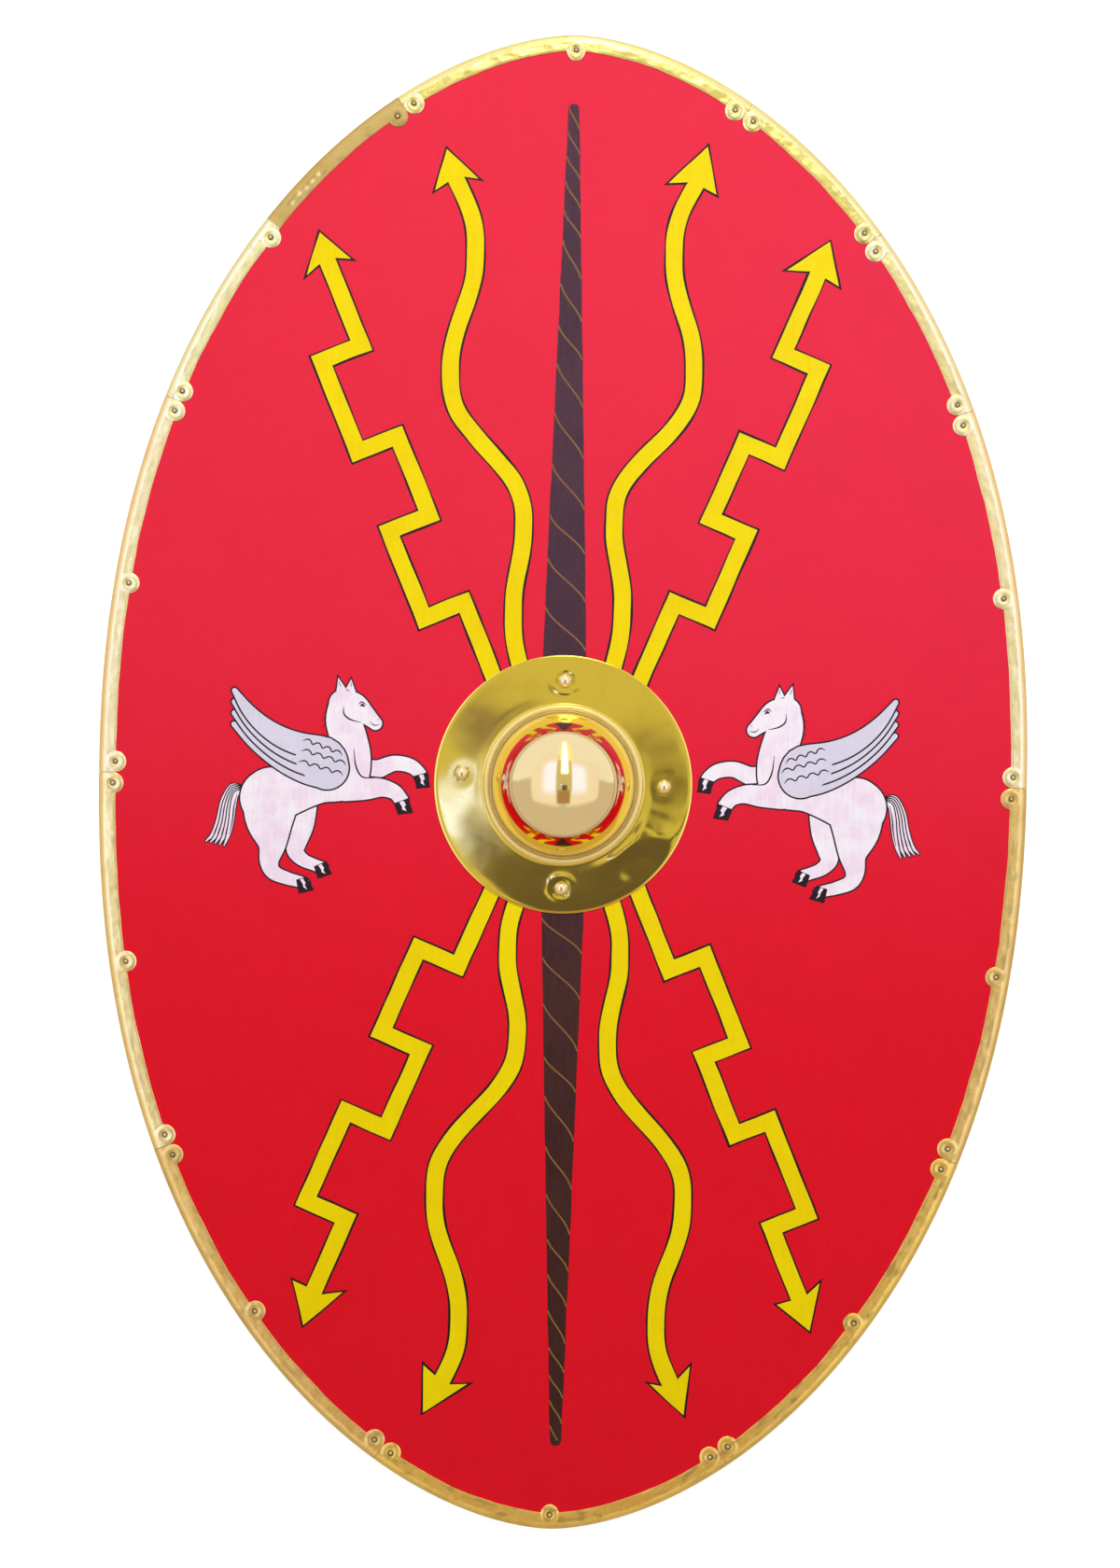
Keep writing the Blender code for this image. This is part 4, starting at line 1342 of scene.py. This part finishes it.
# Each brass: its clean and tarnished colours, how much is tarnished, its roughness, how it
# is beaten and, for the boss, its dome's colour.
BRASSES = {
    "boss_brass": ((0.92, 0.73, 0.13), (0.50, 0.36, 0.06), 0.08, 0.045, BEATEN_FLANGE,
                   (0.91, 0.74, 0.36)),
    "rivet_brass": ((0.91, 0.72, 0.34), (0.42, 0.28, 0.09), 0.12, 0.14, BEATEN_RIVET),
    "nail_brass": ((0.80, 0.60, 0.22), (0.34, 0.22, 0.08), 0.45, 0.20, BEATEN_RIVET),
}
# Each wood: its pale and dark colours, its roughness and how strong its grain is.
WOODS = {
    "plywood": ((0.66, 0.48, 0.29), (0.44, 0.28, 0.14), 0.62, 0.8),
    "grip_wood": ((0.42, 0.25, 0.12), (0.20, 0.10, 0.045), 0.45, 1.0),
}


def make_paint(name, weave, brushwork, colour, thin, share, cloud_size, roughness, shine):
    """A paint on the linen, thinner in clouds and strokes, and darker between the threads, which is
    painted shade.
    """
    material, tree, shader = new_material(name, Specular_IOR_Level=shine)
    brush = use_group(tree, brushwork, cloud_size=cloud_size)
    cloth = use_group(tree, weave, pitch=WEAVE_PITCH)
    patchy = plus(tree, times(tree, brush["Cloud"], 0.65), times(tree, brush["Stroke"], 0.35))
    coat = blended(tree, times(tree, patchy, share), colour, thin)
    # Painted shade between the threads, and darker slubs.
    valley = plus(tree, maths(tree, "SUBTRACT", 1.0, cloth["Height"]),
                  soft_step(tree, cloth["Slub"], 0.45, 0.62))
    coat = blended(tree, times(tree, valley, VALLEY_SHARE), coat,
                   [part * VALLEY_SHADE for part in thin])
    height = plus(tree, cloth["Height"], times(tree, cloth["Slub"], 1.2))
    fill_all(tree, shader.inputs, Base_Color=coat, Normal=bumped(tree, height, WEAVE_DEPTH),
             Roughness=plus(tree, times(tree, brush["Stroke"], 0.05), roughness))
    return material


def make_brass(name, group, clean, tarnished, tarnish, roughness, beaten, dome_colour=None):
    """A worn brass. The boss also has its dome's colour, and its own shine on each part."""
    material, tree, shader = new_material(name, Metallic=1.0)
    if dome_colour:
        dome, bead = marked(tree, "dome"), marked(tree, "bead")
        clean = blended(tree, maths(tree, "MULTIPLY_ADD", bead, 0.6, dome), clean, dome_colour)
        shine = maths(tree, "MULTIPLY_ADD", bead, BEAD_ROUGHNESS - roughness, roughness)
        roughness = maths(tree, "MULTIPLY_ADD", dome, DOME_ROUGHNESS - roughness, shine)
    size, depth, scratch = beaten
    worn = use_group(tree, group, clean=clean, tarnished=tarnished, tarnish=tarnish,
                     worn=marked(tree, "worn"), grime=marked(tree, "grime"), roughness=roughness,
                     beaten_size=size, beaten_depth=depth, scratch_depth=scratch)
    fill_all(tree, shader.inputs, Base_Color=worn["Colour"], Roughness=worn["Roughness"],
             Normal=worn["Normal"])
    return material


def make_wood(name, group, pale, dark, roughness, grain):
    material, tree, shader = new_material(name, Roughness=roughness)
    sawn = use_group(tree, group, pale=pale, dark=dark, grain=grain)
    fill_all(tree, shader.inputs, Base_Color=sawn["Colour"],
             Normal=bumped(tree, sawn["Height"], 0.0001, 0.5))
    return material


# -------------------- studio

CAMERA_HEIGHT = 4.5
SENSOR_WIDTH = 36.0
LEAN = math.radians(1.04)
VIEW_MIDDLE = (-0.00204, -0.00157)
VIEW_HEIGHT = 1.1190
# How bright the world is as a light, mirrored and to the camera.
WORLD = 0.32
MIRRORED_WORLD = 0.04
SEEN_WORLD = 1.15
CEILING_HEIGHT = 3.0
CEILING_RADIUS = 14.0
WALL_FOOT = 0.5

# What hangs over the shield, seen only in its polish: west, east, south and north edges in
# metres, how soft they are, and colour. Later ones cover earlier ones.
CEILING = {
    "walls": (-16, 16, -16, 16, 0.5, (0.70, 0.62, 0.60)),
    "bright_end": (-16, 16, 0.8, 16, 0.4, (1.0, 1.0, 1.15)),
    "left_cloth": (-3.9, -0.3, -2.1, 3.9, 0.40, (1.02, 0.96, 1.05)),
    "right_cloth": (0.3, 5.0, -2.1, 3.0, 0.40, (1.02, 0.96, 1.05)),
    "left_core": (-1.9, -0.3, -0.75, 2.3, 0.55, (1.14, 1.26, 2.3)),
    "right_core": (0.3, 2.3, -0.75, 1.9, 0.55, (1.14, 1.26, 2.3)),
    "gap": (-0.60, 0.75, -0.6, 3.4, 0.07, (0.69, 0.62, 0.36)),
    "foot": (-0.55, 0.65, -1.80, -0.50, 0.12, (0.46, 0.29, 0.14)),
    "tube_end": (-0.50, 1.00, 2.4, 9.0, 0.25, (1.15, 1.10, 0.75)),
    "tube": (-0.15, 0.40, 0.95, 9.0, 0.10, (4.0, 4.0, 3.4)),
    "shade": (-0.085, 0.34, -0.50, -0.058, 0.014, (0.14, 0.11, 0.12)),
    "shade_left": (-0.125, -0.030, 0.042, 0.092, 0.018, (0.24, 0.18, 0.28)),
    "shade_low": (-0.110, -0.040, -0.125, -0.046, 0.012, (0.17, 0.13, 0.12)),
    "shade_right": (0.092, 0.160, -0.018, 0.020, 0.010, (0.10, 0.08, 0.09)),
    "shade_upper": (0.070, 0.150, 0.034, 0.066, 0.012, (0.28, 0.22, 0.22)),
    "near_cloth": (-0.190, -0.112, -0.082, -0.010, 0.013, (1.25, 1.50, 6.0)),
    "near_hem": (-0.125, -0.070, -0.032, 0.012, 0.011, (1.25, 1.50, 6.0)),
}

# The lights: place, what they aim at if not straight down, width and length, brightness,
# colour, and the rays that don't see them. The sheens are mirrored by the paint alone.
LIGHTS = {
    "sheen": ((0, 1.43, 0.8), None, (4.0, 2.9), 0.85, (0.56, 0.52, 1.22), ("diffuse", "camera")),
    "corner_sheen": ((1.1, 1.4, 0.8), None, (2.0, 2.4), 1.5, (0.46, 0.46, 2.0),
                     ("diffuse", "camera")),
    "key": ((0.1, 1.0, 2.2), (0, 0.1, 0), (1.4, 1.4), 7.4706, (1.0, 0.985, 0.97), ("glossy",)),
}


def hide_from(source, kinds):
    """Hides a light or a sheet from some kinds of ray."""
    for kind in kinds:
        setattr(source, f"visible_{kind}", False)


def make_ceiling():
    """A glowing sheet high above, with walls down to the floor, seen in polished metal only."""
    bpy.ops.mesh.primitive_cylinder_add(
        vertices=48, radius=CEILING_RADIUS, depth=CEILING_HEIGHT + WALL_FOOT,
        location=(0, 0, (CEILING_HEIGHT - WALL_FOOT) / 2))
    sheet = named("studio_ceiling")
    bpy.ops.object.mode_set(mode="EDIT")
    select_where(sheet, lambda place: place.z < 0, "FACE")
    bpy.ops.mesh.delete(type="FACE")
    bpy.ops.object.mode_set(mode="OBJECT")
    material = bpy.data.materials.new("studio_ceiling")
    material.use_nodes = True
    tree = material.node_tree
    tree.nodes.clear()
    place = node(tree, "ShaderNodeSeparateXYZ", {"Vector": own_place(tree)}).outputs
    light = (0.0, 0.0, 0.0)
    for west, east, south, north, soft, colour in CEILING.values():
        share = 1.0
        for axis, low, high in (("X", west, east), ("Y", south, north)):
            up = soft_step(tree, place[axis], low - soft, low + soft)
            down = soft_step(tree, place[axis], high + soft, high - soft)
            share = times(tree, times(tree, up, down), share)
        light = blended(tree, share, light, colour)
    glow = node(tree, "ShaderNodeEmission", {"Color": light, "Strength": 1.0})
    node(tree, "ShaderNodeOutputMaterial", {"Surface": glow.outputs[0]})
    material.cycles.emission_sampling = "NONE"
    sheet.data.materials.append(material)
    hide_from(sheet, ("camera", "diffuse", "transmission", "volume_scatter", "shadow"))
    return sheet


def make_light(name, place, aim, size, brightness, colour, unseen_by):
    """A soft rectangular light."""
    data = bpy.data.lights.new(name, "AREA")
    data.shape = "RECTANGLE"
    data.size, data.size_y = size
    data.energy = brightness * math.pi * size[0] * size[1]
    data.color = colour
    light = bpy.data.objects.new(name, data)
    light.location = place
    if aim:
        light.rotation_euler = (Vector(aim) - Vector(place)).to_track_quat("-Z", "Y").to_euler()
    hide_from(light, unseen_by)
    bpy.context.scene.collection.objects.link(light)
    return light


def seen_by(source, pieces):
    """Lets a light or a glowing sheet reach only some of the pieces."""
    reached = bpy.data.collections.new(source.name + "_reaches")
    for piece in pieces:
        reached.objects.link(piece)
    source.light_linking.receiver_collection = reached


def make_floor():
    """White ground that also glows a little to the camera, to stay white."""
    bpy.ops.mesh.primitive_plane_add(size=12.0, location=(0, 0, -0.0002))
    floor = named("studio_floor")
    material, tree, shader = new_material("studio_floor", Roughness=0.9, Specular_IOR_Level=0.0,
                                          Base_Color=(0.86, 0.86, 0.86),
                                          Emission_Color=(1.0, 1.0, 1.0))
    seen = node(tree, "ShaderNodeLightPath").outputs["Is Camera Ray"]
    fill_all(tree, shader.inputs, Emission_Strength=times(tree, seen, 0.80))
    material.cycles.emission_sampling = "NONE"
    floor.data.materials.append(material)


def make_camera():
    data = bpy.data.cameras.new("studio_camera")
    data.sensor_width = SENSOR_WIDTH
    data.lens = SENSOR_WIDTH * (CAMERA_HEIGHT - FACING_FRONT) / VIEW_HEIGHT
    data.clip_start, data.clip_end = 0.1, 100.0
    camera = bpy.data.objects.new("studio_camera", data)
    camera.location = (*VIEW_MIDDLE, CAMERA_HEIGHT)
    camera.rotation_euler = (0, 0, LEAN)
    bpy.context.scene.collection.objects.link(camera)
    bpy.context.scene.camera = camera


def make_world():
    """Soft light from all round, plain white past the floor's edge, hardly mirrored."""
    world = bpy.data.worlds.new("studio_world")
    world.use_nodes = True
    tree = world.node_tree
    ray = node(tree, "ShaderNodeLightPath").outputs
    lit = maths(tree, "MULTIPLY_ADD", ray["Is Glossy Ray"], MIRRORED_WORLD - WORLD, WORLD)
    lit = maths(tree, "MULTIPLY_ADD", ray["Is Camera Ray"], SEEN_WORLD - WORLD, lit)
    fill_all(tree, tree.nodes["Background"].inputs, Color=(0.93, 0.91, 0.90), Strength=lit)
    bpy.context.scene.world = world
    bpy.context.scene.view_settings.view_transform = "Standard"


# -------------------- the dressed shield

def main():
    weave, brushwork = linen_weave_group(), brushwork_group()
    worn, wood = worn_brass_group(), wood_group()
    paints = {name: make_paint(name, weave, brushwork, *mix) for name, mix in PAINT_MIXES.items()}
    brasses = {name: make_brass(name, worn, *finish) for name, finish in BRASSES.items()}
    woods = {name: make_wood(name, wood, *finish) for name, finish in WOODS.items()}

    make_camera()
    make_world()
    make_floor()
    ceiling = make_ceiling()
    lights = {name: make_light(name, *settings) for name, settings in LIGHTS.items()}

    linen = make_painted_linen(paints)
    make_rim(worn)
    set_pins(NAIL, BEHIND_BOARD, dict(zip(NAIL_NODES, NAIL_MIDDLES)), brasses["nail_brass"])
    make_boss(brasses["boss_brass"])
    make_rivets(brasses["rivet_brass"])
    make_grip(woods["grip_wood"])
    frame["nodes"]["board"].material_slots[0].material = woods["plywood"]

    seen_by(ceiling, [piece for piece in bpy.context.scene.objects if "brass" in piece.name])
    seen_by(lights["sheen"], [linen])
    seen_by(lights["corner_sheen"], [linen])


main()
